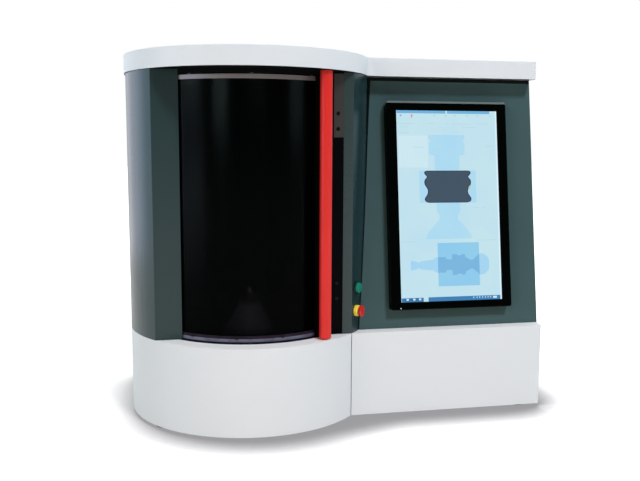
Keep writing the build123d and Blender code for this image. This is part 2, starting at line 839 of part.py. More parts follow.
with BuildPart() as motor_pulley:
    with BuildSketch(drum_level(pulley_bottom)):
        with Locations((0, drive_y)):
            Circle(drive_pulley_radius)
    extrude(amount=pulley_height)
    with BuildSketch(drum_level(pulley_bottom + pulley_height)):
        with Locations((0, drive_y)):
            Circle(motor_shaft)
    extrude(amount=drive_plate_bottom + 4 * drive_plate - pulley_bottom - pulley_height)
finish(motor_pulley.part, "motor_pulley")


def belt_path(extra):
    # The loop round both pulleys: two arcs joined by their outer tangents
    large = pulley_radius + belt_gap + extra
    small = drive_pulley_radius + belt_gap + extra
    lean = degrees(asin((large - small) / -drive_y))
    with BuildSketch() as loop:
        with BuildLine():
            back = CenterArc((0, 0), large, -lean, 180 + 2 * lean)
            front = CenterArc((0, drive_y), small, 180 + lean, 180 - 2 * lean)
            Line(back @ 1, front @ 0)
            Line(front @ 1, back @ 0)
        make_face()
    return loop.sketch


with BuildPart() as drive_belt:
    with BuildSketch(drum_level(pulley_bottom + (pulley_height - belt_width) / 2)):
        add(belt_path(belt_thickness))
        add(belt_path(0), mode=Mode.SUBTRACT)
    extrude(amount=belt_width)
finish(drive_belt.part, "drive_belt")

# Measuring carriage: a yoke round the column with the camera on one arm and the lamp
# on the other, both aimed across the shaft
optical_rise = 15
optical_height = centre_tip + optical_rise
yoke_half_height = 44
arm_inner = 86
arm_thickness = 14
arm_front = -42
bridge_front = 194
bridge_rear = 212
nut_radius = 16
nut_half = 22
nut_flange_radius = 24
nut_flange = 6
barrel_radius = 28
barrel_gap = 0.2
yoke_corner = 14
yoke_bevel = 16

with BuildPart() as carriage_yoke:
    with BuildSketch(drum_level(optical_height - yoke_half_height)):
        span(-arm_inner - arm_thickness, arm_inner + arm_thickness, arm_front, bridge_rear)
        span(-arm_inner, arm_inner, arm_front, bridge_front, Mode.SUBTRACT)
    extrude(amount=2 * yoke_half_height)
    fillet(carriage_yoke.edges().filter_by(Axis.Z).group_by(Axis.Y)[-1], yoke_corner)
    for corner_z in (optical_height - yoke_half_height, optical_height + yoke_half_height):
        front_edges = carriage_yoke.edges().filter_by(Axis.X).group_by(Axis.Y)[0]
        chamfer(front_edges.filter_by_position(Axis.Z, corner_z - 1, corner_z + 1), yoke_bevel)
    with BuildSketch(seen_from_right(-arm_inner - arm_thickness)):
        with Locations((0, optical_height)):
            Circle(barrel_radius + barrel_gap)
    extrude(amount=2 * (arm_inner + arm_thickness), mode=Mode.SUBTRACT)
    with BuildSketch(drum_level(optical_height - nut_half)):
        with Locations((0, screw_y)):
            Circle(nut_radius + nut_flange)
        span(-nut_radius - nut_flange, nut_radius + nut_flange, bridge_rear - nut_flange, screw_y)
        with Locations((0, screw_y)):
            Circle(nut_radius + running_gap, mode=Mode.SUBTRACT)
    extrude(amount=2 * nut_half)
    with BuildSketch(drum_level(optical_height - yoke_half_height)):
        with Locations((0, screw_y)):
            Circle(nut_radius + running_gap)
    extrude(amount=2 * yoke_half_height, mode=Mode.SUBTRACT)
finish(carriage_yoke.part, "carriage_yoke")

with BuildPart() as ball_nut:
    with BuildSketch(drum_level(optical_height - nut_half - nut_flange)):
        with Locations((0, screw_y)):
            Circle(nut_radius)
    extrude(amount=2 * nut_half + nut_flange)
    with BuildSketch(drum_level(optical_height - nut_half - nut_flange)):
        with Locations((0, screw_y)):
            Circle(nut_flange_radius)
        span(-nut_flange_radius, nut_flange_radius, screw_y - nut_flange_radius,
             bridge_rear + sheet_gap, Mode.SUBTRACT)
    extrude(amount=nut_flange)
    with BuildSketch(drum_level(optical_height - nut_half - nut_flange)):
        with Locations((0, screw_y)):
            Circle(screw_radius + running_gap)
    extrude(amount=2 * nut_half + nut_flange, mode=Mode.SUBTRACT)
finish(ball_nut.part, "ball_nut")

block_length = 30
block_offset = 12
block_half = 22

with BuildPart() as carriage_blocks:
    for side in (-1, 1):
        for level in (optical_height - block_offset - block_length, optical_height + block_offset):
            with BuildSketch(drum_level(level)):
                low = column_half + sheet
                span(min(side * low, side * arm_inner), max(side * low, side * arm_inner),
                     column_mid - block_half, column_mid + block_half)
                channel = column_half + rail_height + working_gap
                span(min(side * low, side * channel), max(side * low, side * channel),
                     column_mid - rail_half - working_gap, column_mid + rail_half + working_gap,
                     Mode.SUBTRACT)
            extrude(amount=block_length)
    with BuildSketch(drum_level(optical_height - block_length / 2)):
        span(-arm_inner, -column_half - scale_thickness - working_gap, scale_near, scale_far)
    extrude(amount=block_length)
finish(carriage_blocks.part, "carriage_blocks")

hood_radius = 33
lens_stand_off = 50
lens_radius = 27
lens_recess = 5
lens_thickness = 6
barrel_end = 160
barrel_chamfer = 8
camera_clearance = 28
camera_end = track_inner - camera_clearance
camera_half = 24
camera_corner = 4
fin_count = 4
fin_pitch = 9
fin_thickness = 3
fin_start = 20

optical_axis = Axis((drum_x, 0, optical_height), (1, 0, 0))
lens_back = lens_stand_off + lens_recess + lens_thickness + barrel_gap


def barrel_profile(side):
    # Half section of a hood in front of the arm and a barrel through it
    with BuildSketch() as profile:
        with BuildLine():
            Polyline((side * lens_stand_off, optical_height + lens_radius + barrel_gap),
                     (side * lens_stand_off, optical_height + hood_radius),
                     (side * arm_inner, optical_height + hood_radius),
                     (side * arm_inner, optical_height + barrel_radius),
                     (side * (barrel_end - barrel_chamfer), optical_height + barrel_radius),
                     (side * barrel_end, optical_height + barrel_radius - barrel_chamfer),
                     (side * barrel_end, optical_height),
                     (side * lens_back, optical_height),
                     (side * lens_back, optical_height + lens_radius + barrel_gap),
                     (side * lens_stand_off, optical_height + lens_radius + barrel_gap))
        make_face()
    return profile.sketch


with BuildPart() as camera_housing:
    with BuildSketch(seen_from_front(0)):
        add(barrel_profile(1))
    revolve(axis=optical_axis)
    with BuildSketch(seen_from_right(barrel_end)):
        with Locations((0, optical_height)):
            RectangleRounded(2 * camera_half, 2 * camera_half, camera_corner)
    extrude(amount=camera_end - barrel_end)
finish(camera_housing.part, "camera_housing")

with BuildPart() as lamp_housing:
    with BuildSketch(seen_from_front(0)):
        add(barrel_profile(-1))
    revolve(axis=optical_axis)
    for fin in range(fin_count):
        with BuildSketch(seen_from_right(-barrel_end + fin_start + fin * fin_pitch)):
            with Locations((0, optical_height)):
                Circle(hood_radius)
        extrude(amount=fin_thickness)
finish(lamp_housing.part, "lamp_housing")

with BuildPart() as optic_lenses:
    for side in (-1, 1):
        near = side * (lens_stand_off + lens_recess)
        with BuildSketch(seen_from_right(near)):
            with Locations((0, optical_height)):
                Circle(lens_radius)
        extrude(amount=side * lens_thickness)
finish(optic_lenses.part, "optic_lenses")

# Tailstock: an arm on the front rail, clamped by a lever; its quill lifts the upper centre
shaft_room = 250
upper_tip = centre_tip + shaft_room
upper_cone = upper_tip + centre_radius * sqrt(3)
centre_length = 30
quill_bottom = upper_tip + centre_length
quill_radius = 12
quill_flat = 8
quill_bevel = 1.5
pinion_radius = 6
pinion_end = 11
tail_rise = 45
tail_bottom = upper_tip + tail_rise
tail_height = 90
tail_top = tail_bottom + tail_height
quill_proud = 16
quill_top = tail_top + quill_proud
tail_half = 32
tail_nose = 24
tail_shoulder = 34
tail_block_rear = 87
lever_u = 32
pinion_rise = 60
pinion_height = tail_bottom + pinion_rise
pinion_y = quill_flat + pinion_radius + sheet_gap
clamp_y = 58
clamp_rise = 30
clamp_height = tail_bottom + clamp_rise
clamp_screw = 5
clamp_screw_length = 18

with BuildPart() as tailstock_arm:
    with BuildSketch(drum_level(tail_bottom)):
        with BuildLine():
            CenterArc((0, 0), tail_nose, 180, 180)
            Polyline((tail_nose, 0), (tail_half, tail_shoulder), (tail_half, tail_block_rear),
                     (-tail_half, tail_block_rear), (-tail_half, tail_shoulder), (-tail_nose, 0))
        make_face()
        span(-tail_rail_half - working_gap, tail_rail_half + working_gap,
             column_front - rail_height - working_gap, tail_block_rear + 1, Mode.SUBTRACT)
        Circle(quill_radius + running_gap, mode=Mode.SUBTRACT)
    extrude(amount=tail_top - tail_bottom)
    with BuildSketch(seen_from_right(-tail_half)):
        with Locations((pinion_y, pinion_height)):
            Circle(pinion_radius + running_gap)
    extrude(amount=tail_half + pinion_end + sheet_gap, mode=Mode.SUBTRACT)
    with BuildSketch(seen_from_right(tail_half)):
        with Locations((clamp_y, clamp_height)):
            Circle(clamp_screw + running_gap)
    extrude(amount=-clamp_screw_length, mode=Mode.SUBTRACT)
finish(tailstock_arm.part, "tailstock_arm")

with BuildPart() as tailstock_quill:
    with BuildSketch(drum_level(quill_bottom)):
        Circle(quill_radius)
        span(-quill_radius, quill_radius, quill_flat, quill_radius, Mode.SUBTRACT)
    extrude(amount=quill_top - quill_bottom)
    with BuildSketch(drum_level(quill_bottom)):
        Circle(shank_radius + running_gap)
    extrude(amount=2 * shank_length + 1, mode=Mode.SUBTRACT)
    chamfer(tailstock_quill.edges().group_by(Axis.Z)[-1], quill_bevel)
finish(tailstock_quill.part, "tailstock_quill")

with BuildPart() as upper_centre:
    with BuildSketch(seen_from_front(0)):
        with BuildLine():
            Polyline((0, upper_tip), (centre_radius, upper_cone),
                     (centre_radius, quill_bottom - sheet_gap),
                     (shank_radius, quill_bottom - sheet_gap),
                     (shank_radius, quill_bottom + 2 * shank_length),
                     (0, quill_bottom + 2 * shank_length), (0, upper_tip))
        make_face()
    revolve(axis=Axis((drum_x, 0, 0), (0, 0, 1)))
finish(upper_centre.part, "upper_centre")

lever_hub_radius = 7
lever_hub_length = 8
lever_length = 34
lever_bar = 4
lever_knob = 6

with BuildPart() as quill_lever:
    with BuildSketch(seen_from_right(pinion_end)):
        with Locations((pinion_y, pinion_height)):
            Circle(pinion_radius)
    extrude(amount=-pinion_end - lever_u - working_gap)
    with BuildSketch(seen_from_right(-lever_u - working_gap)):
        with Locations((pinion_y, pinion_height)):
            Circle(lever_hub_radius)
        span(pinion_y - lever_length, pinion_y, pinion_height - lever_bar, pinion_height + lever_bar)
        with Locations((pinion_y - lever_length, pinion_height)):
            Circle(lever_knob)
    extrude(amount=-lever_hub_length)
finish(quill_lever.part, "quill_lever")

with BuildPart() as clamp_lever:
    with BuildSketch(seen_from_right(lever_u + working_gap)):
        with Locations((clamp_y, clamp_height)):
            Circle(lever_hub_radius)
        span(clamp_y - lever_bar, clamp_y + lever_bar, clamp_height, clamp_height + lever_length)
        with Locations((clamp_y, clamp_height + lever_length)):
            Circle(lever_knob)
    extrude(amount=lever_hub_length)
    with BuildSketch(seen_from_right(lever_u + working_gap)):
        with Locations((clamp_y, clamp_height)):
            Circle(clamp_screw)
    extrude(amount=-clamp_screw_length)
finish(clamp_lever.part, "clamp_lever")

# Door: smoked glass bent to the drum, a rail at its head and foot, the stile and the grip
door_rail_drop = 13
door_rail_top = lid_bottom - door_rail_drop
door_rail_height = 10
door_foot_height = 37
door_foot_rise = 17
door_foot_top = base_top + door_foot_rise
door_foot = door_foot_top - door_foot_height
glass_seat = 4
handle_setback = 7.7
handle_angle = door_right - handle_setback
handle_stand_off = 34
handle_reach = door_radius + handle_stand_off
handle_width = 29
handle_depth = 24
handle_round = 11
stile_thickness = 8
rail_half_thickness = rail_thickness / 2
glass_bottom = door_foot_top - glass_seat
glass_top = door_rail_top - door_rail_height + glass_seat

with BuildPart() as door_glass:
    with BuildSketch(drum_level(glass_bottom)):
        add(ring_sector(door_radius - glass_thickness, door_radius, door_left, door_right))
    extrude(amount=glass_top - glass_bottom)
finish(door_glass.part, "door_glass")


rail_plan = ring_sector(rail_mid - rail_half_thickness, rail_mid + rail_half_thickness,
                        door_left, door_right)
groove_plan = ring_sector(door_radius - glass_thickness - running_gap, door_radius + running_gap,
                          door_left - 1, door_right + 1)

with BuildPart() as door_top_rail:
    with BuildSketch(drum_level(door_rail_top)):
        add(rail_plan)
    extrude(amount=-door_rail_height)
    with BuildSketch(drum_level(door_rail_top - door_rail_height)):
        add(groove_plan)
    extrude(amount=glass_seat, mode=Mode.SUBTRACT)
finish(door_top_rail.part, "door_top_rail")

with BuildPart() as door_foot_rail:
    with BuildSketch(drum_level(door_foot)):
        add(rail_plan)
    extrude(amount=door_foot_height)
    with BuildSketch(drum_level(glass_bottom)):
        add(groove_plan)
    extrude(amount=glass_seat, mode=Mode.SUBTRACT)
finish(door_foot_rail.part, "door_foot_rail")

handle_back = handle_reach - handle_depth / 2
stile_front = rail_mid + rail_half_thickness + sheet_gap
handle_foot_gap = 2
handle_head_gap = 1.5
handle_bottom = base_top + handle_foot_gap
handle_top = lid_bottom - handle_head_gap
handle_bevel = 2

with BuildPart() as door_stile:
    with BuildSketch(drum_radial(handle_angle, stile_front, (base_top + door_rail_top) / 2)):
        Rectangle(stile_thickness, door_rail_top - base_top - handle_foot_gap)
    extrude(amount=handle_back - stile_front)
finish(door_stile.part, "door_stile")

with BuildPart() as door_handle:
    with BuildSketch(Plane(origin=(drum_x, 0, handle_bottom), z_dir=(0, 0, 1),
                           x_dir=(cos(radians(handle_angle)), sin(radians(handle_angle)), 0))):
        with Locations((handle_reach, 0)):
            RectangleRounded(handle_depth, handle_width, handle_round)
    extrude(amount=handle_top - handle_bottom)
    chamfer(door_handle.edges().group_by(Axis.Z)[0], handle_bevel)
finish(door_handle.part, "door_handle")

roller_height = 8
roller_stem = 2
roller_inset = 10.5
roller_angles = (door_right - roller_inset, (door_right + door_left) / 2, door_left + roller_inset)

with BuildPart() as door_rollers:
    for angle in roller_angles:
        roller_plane = drum_level(door_rail_top)
        place = (rail_mid * cos(radians(angle)), rail_mid * sin(radians(angle)))
        with BuildSketch(roller_plane):
            with Locations(place):
                Circle(roller_stem)
        extrude(amount=roller_height)
        with BuildSketch(drum_level(door_rail_top + roller_height / 2)):
            with Locations(place):
                Circle(roller_radius)
        extrude(amount=roller_height / 2)
finish(door_rollers.part, "door_rollers")

# Controls on the drum wall: the lit start button and the emergency stop
bezel_radius = 15
bezel_height = 5
bezel_floor = 1.2
start_cap = 12.5
start_stem = 7
start_proud = 11
start_travel = 3
start_round = 1
socket_depth_inside = 18
socket_floor = 4
socket_inner = drum_radius - socket_depth_inside
socket_length = socket_depth_inside + 2
wall_seat = drum_radius + sheet_gap
saddle_depth = 6


# What the round wall takes away from a fitting that is seated on it
with BuildPart() as wall_core:
    with BuildSketch(drum_level(base_top)):
        Circle(wall_seat)
    extrude(amount=body_height / 2)

with BuildPart() as start_button_bezel:
    with BuildSketch(drum_radial(control_angle, drum_radius - saddle_depth, start_button_height)):
        Circle(bezel_radius)
    extrude(amount=bezel_height + saddle_depth)
    add(wall_core.part, mode=Mode.SUBTRACT)
    with BuildSketch(drum_radial(control_angle, socket_inner, start_button_height)):
        Circle(control_hole - sheet_gap)
    extrude(amount=socket_length)
    with BuildSketch(drum_radial(control_angle, socket_inner + socket_floor, start_button_height)):
        Circle(start_stem + running_gap)
    extrude(amount=drum_radius, mode=Mode.SUBTRACT)
    with BuildSketch(drum_radial(control_angle, drum_radius + bezel_floor, start_button_height)):
        Circle(start_cap + running_gap)
    extrude(amount=bezel_height, mode=Mode.SUBTRACT)
finish(start_button_bezel.part, "start_button_bezel")

stem_start = socket_inner + socket_floor + start_travel + sheet_gap
cap_start = drum_radius + bezel_floor + start_travel + sheet_gap

with BuildPart() as start_button:
    with BuildSketch(drum_radial(control_angle, cap_start, start_button_height)):
        Circle(start_cap)
    extrude(amount=drum_radius + start_proud - cap_start)
    outer_face = start_button.faces().filter_by(GeomType.PLANE).sort_by(Axis.X)[-1]
    fillet(outer_face.edges(), start_round)
    with BuildSketch(drum_radial(control_angle, stem_start, start_button_height)):
        Circle(start_stem)
    extrude(amount=cap_start - stem_start)
finish(start_button.part, "start_button")

collar_radius = 13.5
collar_height = 9
estop_travel = 3.5
plunger_radius = 5
head_radius = 13.5
head_thickness = 6
head_round = 2.5
collar_bevel = 1.5
head_start = drum_radius + collar_height + estop_travel + sheet_gap

with BuildPart() as estop_collar:
    with BuildSketch(drum_radial(control_angle, drum_radius - saddle_depth, estop_height)):
        Circle(collar_radius)
    extrude(amount=collar_height + saddle_depth)
    chamfer(estop_collar.edges().filter_by(GeomType.CIRCLE).sort_by(
        SortBy.DISTANCE, reverse=True)[:1], collar_bevel)
    add(wall_core.part, mode=Mode.SUBTRACT)
    with BuildSketch(drum_radial(control_angle, socket_inner, estop_height)):
        Circle(control_hole - sheet_gap)
    extrude(amount=socket_length)
    with BuildSketch(drum_radial(control_angle, socket_inner + socket_floor, estop_height)):
        Circle(plunger_radius + running_gap)
    extrude(amount=drum_radius, mode=Mode.SUBTRACT)
finish(estop_collar.part, "estop_collar")

plunger_start = socket_inner + socket_floor + estop_travel + sheet_gap

with BuildPart() as estop_plunger:
    with BuildSketch(drum_radial(control_angle, plunger_start, estop_height)):
        Circle(plunger_radius)
    extrude(amount=head_start + head_thickness / 2 - plunger_start)
finish(estop_plunger.part, "estop_plunger")

with BuildPart() as estop_head:
    with BuildSketch(drum_radial(control_angle, head_start, estop_height)):
        Circle(head_radius)
    extrude(amount=head_thickness)
    front_face = estop_head.faces().filter_by(GeomType.PLANE).sort_by(Axis.X)[-1]
    fillet(front_face.edges(), head_round)
    with BuildSketch(drum_radial(control_angle, head_start, estop_height)):
        Circle(plunger_radius + running_gap)
    extrude(amount=head_thickness / 2 + running_gap, mode=Mode.SUBTRACT)
finish(estop_head.part, "estop_head")

# Monitor on the sloping panel, upright, with its touch screen
screen_width = 268
screen_length = 478
screen_recess = 1.5
screen_thickness = 4
border_left = 25
border_right = 22
border_end = 17.5
monitor_width = border_left + screen_width + border_right
monitor_length = screen_length + 2 * border_end
monitor_shift = 19.25
monitor_left = (partition_u + box_reach - monitor_width) / 2 - monitor_shift
monitor_foot = 45.5
monitor_depth = 25
monitor_corner = 5
monitor_bevel = 1.5
screen_left = monitor_left + border_left
screen_foot = monitor_foot + border_end

with BuildPart() as monitor_housing:
    with BuildSketch(panel_plane):
        with Locations((monitor_left + monitor_width / 2, monitor_foot + monitor_length / 2)):
            RectangleRounded(monitor_width, monitor_length, monitor_corner)
    extrude(amount=monitor_depth)
    chamfer(monitor_housing.faces().sort_by(Axis.Y)[0].edges(), monitor_bevel)
    with BuildSketch(panel_plane.offset(monitor_depth)):
        with Locations((screen_left + screen_width / 2, screen_foot + screen_length / 2)):
            Rectangle(screen_width, screen_length)
    extrude(amount=-screen_recess - screen_thickness, mode=Mode.SUBTRACT)
finish(monitor_housing.part, "monitor_housing")

with BuildPart() as touch_screen:
    with BuildSketch(panel_plane.offset(monitor_depth - screen_recess)):
        with Locations((screen_left + screen_width / 2, screen_foot + screen_length / 2)):
            Rectangle(screen_width - 2 * running_gap, screen_length - 2 * running_gap)
    extrude(amount=-screen_thickness)
finish(touch_screen.part, "touch_screen")

# Inside the box: a frame with two shelves, the computer, power supply and controller, the fan
frame_left_gap = 27.5
frame_left = partition_u + frame_left_gap
frame_right_gap = 4
frame_right = box_reach - ledge_side - frame_right_gap
frame_front = -40
frame_rear_gap = 18
frame_rear = rear_sheet - frame_rear_gap
frame_bar = 25
shelf_thickness = 3
computer_shelf_rise = 27
computer_shelf = base_top + computer_shelf_rise
shelf_spacing = 230
module_shelf = computer_shelf + shelf_spacing
computer_width = 180
computer_length = 240
computer_height = 200
computer_wall = 2
computer_inset = 60
computer_rear_gap = 56
computer_left = frame_left + computer_inset
computer_front = rear_sheet - computer_rear_gap - computer_length
module_inset = 45
module_front = frame_front + module_inset
module_first = frame_left + module_inset
module_pitch = 100
module_width = 70
module_length = 130
module_height = 120

with BuildPart() as equipment_frame:
    with BuildSketch(drum_level(plate_top)):
        for u in (frame_left, frame_right - frame_bar):
            for y in (frame_front, frame_rear - frame_bar):
                span(u, u + frame_bar, y, y + frame_bar)
    extrude(amount=lid_bottom - plate_top)
    for level in (computer_shelf, module_shelf):
        with BuildSketch(drum_level(level)):
            span(frame_left, frame_right, frame_front, frame_rear)
        extrude(amount=shelf_thickness)
finish(equipment_frame.part, "equipment_frame")

with BuildPart() as industrial_computer:
    with BuildSketch(drum_level(computer_shelf + shelf_thickness)):
        span(computer_left, computer_left + computer_width, computer_front, computer_front + computer_length)
    extrude(amount=computer_height)
    with BuildSketch(drum_level(computer_shelf + shelf_thickness)):
        span(computer_left + computer_wall, computer_left + computer_width - computer_wall,
             computer_front + computer_wall, computer_front + computer_length - computer_wall)
    extrude(amount=computer_height - computer_wall, mode=Mode.SUBTRACT)
finish(industrial_computer.part, "industrial_computer")

with BuildPart() as control_modules:
    for u in (module_first, module_first + module_pitch):
        with BuildSketch(drum_level(module_shelf + shelf_thickness)):
            span(u, u + module_width, module_front, module_front + module_length)
        extrude(amount=module_height)
        with BuildSketch(drum_level(module_shelf + shelf_thickness)):
            span(u + computer_wall, u + module_width - computer_wall,
                 module_front + computer_wall, module_front + module_length - computer_wall)
        extrude(amount=module_height - computer_wall, mode=Mode.SUBTRACT)
finish(control_modules.part, "control_modules")

fan_half = 46
fan_depth = 25
fan_hub = 17
fan_strut = 4
fan_blade_count = 7
fan_tip_gap = 2
stator_depth = 6
fan_corner = 5
rotor_rear = rear_sheet - 2

with BuildPart() as fan_frame:
    with BuildSketch(seen_from_front(rear_sheet)):
        with Locations((fan_u, fan_height)):
            RectangleRounded(2 * fan_half, 2 * fan_half, fan_corner)
            Circle(fan_radius, mode=Mode.SUBTRACT)
    extrude(amount=fan_depth)
    with BuildSketch(seen_from_front(rear_sheet - fan_depth + stator_depth / 2)):
        with Locations((fan_u, fan_height)):
            Circle(fan_hub)
            Rectangle(2 * fan_half - fan_strut, fan_strut)
            Rectangle(fan_strut, 2 * fan_half - fan_strut)
    extrude(amount=stator_depth / 2)
    with BuildSketch(seen_from_front(rear_sheet - fan_depth + stator_depth)):
        with Locations((fan_u, fan_height)):
            Circle(fan_strut)
    extrude(amount=stator_depth)
finish(fan_frame.part, "fan_frame")

rotor_front = rear_sheet - fan_depth + stator_depth / 2 + sheet_gap
blade_root = 2
blade_chord = 18
blade_thickness = 1.6
blade_pitch = radians(50)
blade_middle = (rotor_front + rotor_rear) / 2

with BuildPart() as fan_rotor:
    with BuildSketch(seen_from_front(rotor_rear)):
        with Locations((fan_u, fan_height)):
            Circle(fan_hub - 1)
    extrude(amount=rotor_rear - rotor_front)
    for blade in range(fan_blade_count):
        turn = radians(blade * 360 / fan_blade_count)
        chord = (-sin(turn) * sin(blade_pitch), cos(blade_pitch), cos(turn) * sin(blade_pitch))
        root = Plane(origin=(drum_x + fan_u + (fan_hub - blade_root) * cos(turn), blade_middle,
                             fan_height + (fan_hub - blade_root) * sin(turn)),
                     x_dir=chord, z_dir=(cos(turn), 0, sin(turn)))
        with BuildSketch(root):
            Rectangle(blade_chord, blade_thickness)
        extrude(amount=fan_radius - fan_tip_gap - fan_hub + blade_root)
    with BuildSketch(seen_from_front(rotor_rear)):
        with Locations((fan_u, fan_height)):
            Circle(fan_strut + running_gap)
    extrude(amount=rotor_rear - rotor_front + 1, mode=Mode.SUBTRACT)
finish(fan_rotor.part, "fan_rotor")
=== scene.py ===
import math

import bpy
import bmesh
from mathutils import Matrix, Vector


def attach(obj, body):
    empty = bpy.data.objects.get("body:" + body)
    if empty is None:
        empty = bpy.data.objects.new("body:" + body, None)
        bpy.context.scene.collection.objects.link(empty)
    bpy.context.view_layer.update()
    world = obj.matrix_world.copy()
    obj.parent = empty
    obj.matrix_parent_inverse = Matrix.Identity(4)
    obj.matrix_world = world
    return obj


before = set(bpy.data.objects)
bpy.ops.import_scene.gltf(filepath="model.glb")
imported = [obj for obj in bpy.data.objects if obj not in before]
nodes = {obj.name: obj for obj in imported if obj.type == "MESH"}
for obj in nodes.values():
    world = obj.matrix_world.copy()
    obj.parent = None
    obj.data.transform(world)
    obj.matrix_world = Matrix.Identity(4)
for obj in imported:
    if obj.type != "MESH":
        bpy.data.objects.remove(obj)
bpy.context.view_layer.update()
print("frame loaded,", len(nodes), "nodes")

drumX = -0.212  # axis of the drum
drumRadius = 0.298
ledgeTop = 0.213  # top of the white base
lidBottom = 0.832
panelBack = -0.161  # foot of the sloping panel
colourA, colourB, colourOut = 6, 7, 2  # colour sockets of a Mix node

# camera

view = {"spot": (-0.421, -1.9815, 0.6679), "yaw": 11.276, "pitch": -7.107, "roll": 0.253, "lens": 43.8,
        "sensor": 36}
yaw, pitch, roll = (math.radians(view[key]) for key in ("yaw", "pitch", "roll"))
forward = Vector((math.sin(yaw) * math.cos(pitch), math.cos(yaw) * math.cos(pitch), math.sin(pitch)))
level = Vector((math.cos(yaw), -math.sin(yaw), 0))
upright = level.cross(forward)
rightward = level * math.cos(roll) + upright * math.sin(roll)
upward = upright * math.cos(roll) - level * math.sin(roll)
turn = Matrix((rightward, upward, -forward)).transposed().to_4x4()
camera = bpy.data.objects.new("camera", bpy.data.cameras.new("camera"))
camera.data.sensor_width = view["sensor"]
camera.data.lens = view["lens"]
camera.matrix_world = Matrix.Translation(view["spot"]) @ turn
bpy.context.scene.collection.objects.link(camera)
bpy.context.scene.camera = camera
bpy.context.scene.view_settings.view_transform = "Standard"
print("camera placed")


# node helpers

def newTree(name):
    material = bpy.data.materials.new(name)
    material.use_nodes = True
    tree = material.node_tree
    return material, tree, tree.nodes["Principled BSDF"]


def joinUp(tree, fromSocket, toSocket):
    tree.links.new(fromSocket, toSocket)
    return toSocket.node


def noiseAt(tree, scale, detail=2.0, stretch=(1, 1, 1)):
    place = tree.nodes.new("ShaderNodeTexCoord")
    spread = tree.nodes.new("ShaderNodeMapping")
    spread.inputs["Scale"].default_value = stretch
    noise = tree.nodes.new("ShaderNodeTexNoise")
    noise.inputs["Scale"].default_value = scale
    noise.inputs["Detail"].default_value = detail
    joinUp(tree, place.outputs["Object"], spread.inputs["Vector"])
    joinUp(tree, spread.outputs["Vector"], noise.inputs["Vector"])
    return noise.outputs["Fac"]


def blendColours(tree, factor, first, second, low=0.35, high=0.65):
    ramp = tree.nodes.new("ShaderNodeValToRGB")
    ramp.color_ramp.elements[0].position = low
    ramp.color_ramp.elements[1].position = high
    ramp.color_ramp.elements[0].color = (*first, 1)
    ramp.color_ramp.elements[1].color = (*second, 1)
    joinUp(tree, factor, ramp.inputs["Fac"])
    return ramp.outputs["Color"]


def spreadValue(tree, factor, low, high):
    span = tree.nodes.new("ShaderNodeMapRange")
    span.inputs["From Min"].default_value = 0.3
    span.inputs["From Max"].default_value = 0.7
    span.inputs["To Min"].default_value = low
    span.inputs["To Max"].default_value = high
    joinUp(tree, factor, span.inputs["Value"])
    return span.outputs["Result"]


def addBump(tree, shader, factor, height, edge):
    bump = tree.nodes.new("ShaderNodeBump")
    bump.inputs["Strength"].default_value = 1.0
    bump.inputs["Distance"].default_value = height
    joinUp(tree, factor, bump.inputs["Height"])
    if edge:
        rounding = tree.nodes.new("ShaderNodeBevel")  # worn and rounded edges catch the light
        rounding.samples = 4
        rounding.inputs["Radius"].default_value = edge
        joinUp(tree, rounding.outputs["Normal"], bump.inputs["Normal"])
    joinUp(tree, bump.outputs["Normal"], shader.inputs["Normal"])


def makeFinish(name, look):
    material, tree, shader = newTree(name)
    patches = noiseAt(tree, look.get("patchScale", 5), 3, look.get("stretch", (1, 1, 1)))
    shaded = [part * look.get("shade", 0.94) for part in look["colour"]]
    colour = blendColours(tree, patches, shaded, look["colour"])
    joinUp(tree, colour, shader.inputs["Base Color"])
    rough = look["rough"]
    fine = noiseAt(tree, look.get("grainScale", 700), 2, look.get("stretch", (1, 1, 1)))
    roughness = spreadValue(tree, fine, rough * 0.92, min(1, rough * 1.08))
    joinUp(tree, roughness, shader.inputs["Roughness"])
    shader.inputs["Metallic"].default_value = look.get("metal", 0)
    shader.inputs["Specular IOR Level"].default_value = look.get("shine", 0.5)
    shader.inputs["Alpha"].default_value = look.get("alpha", 1)
    addBump(tree, shader, fine, look.get("grain", 0.00002), look.get("edge", 0.0008))
    return material


# finish of every material slot in the record

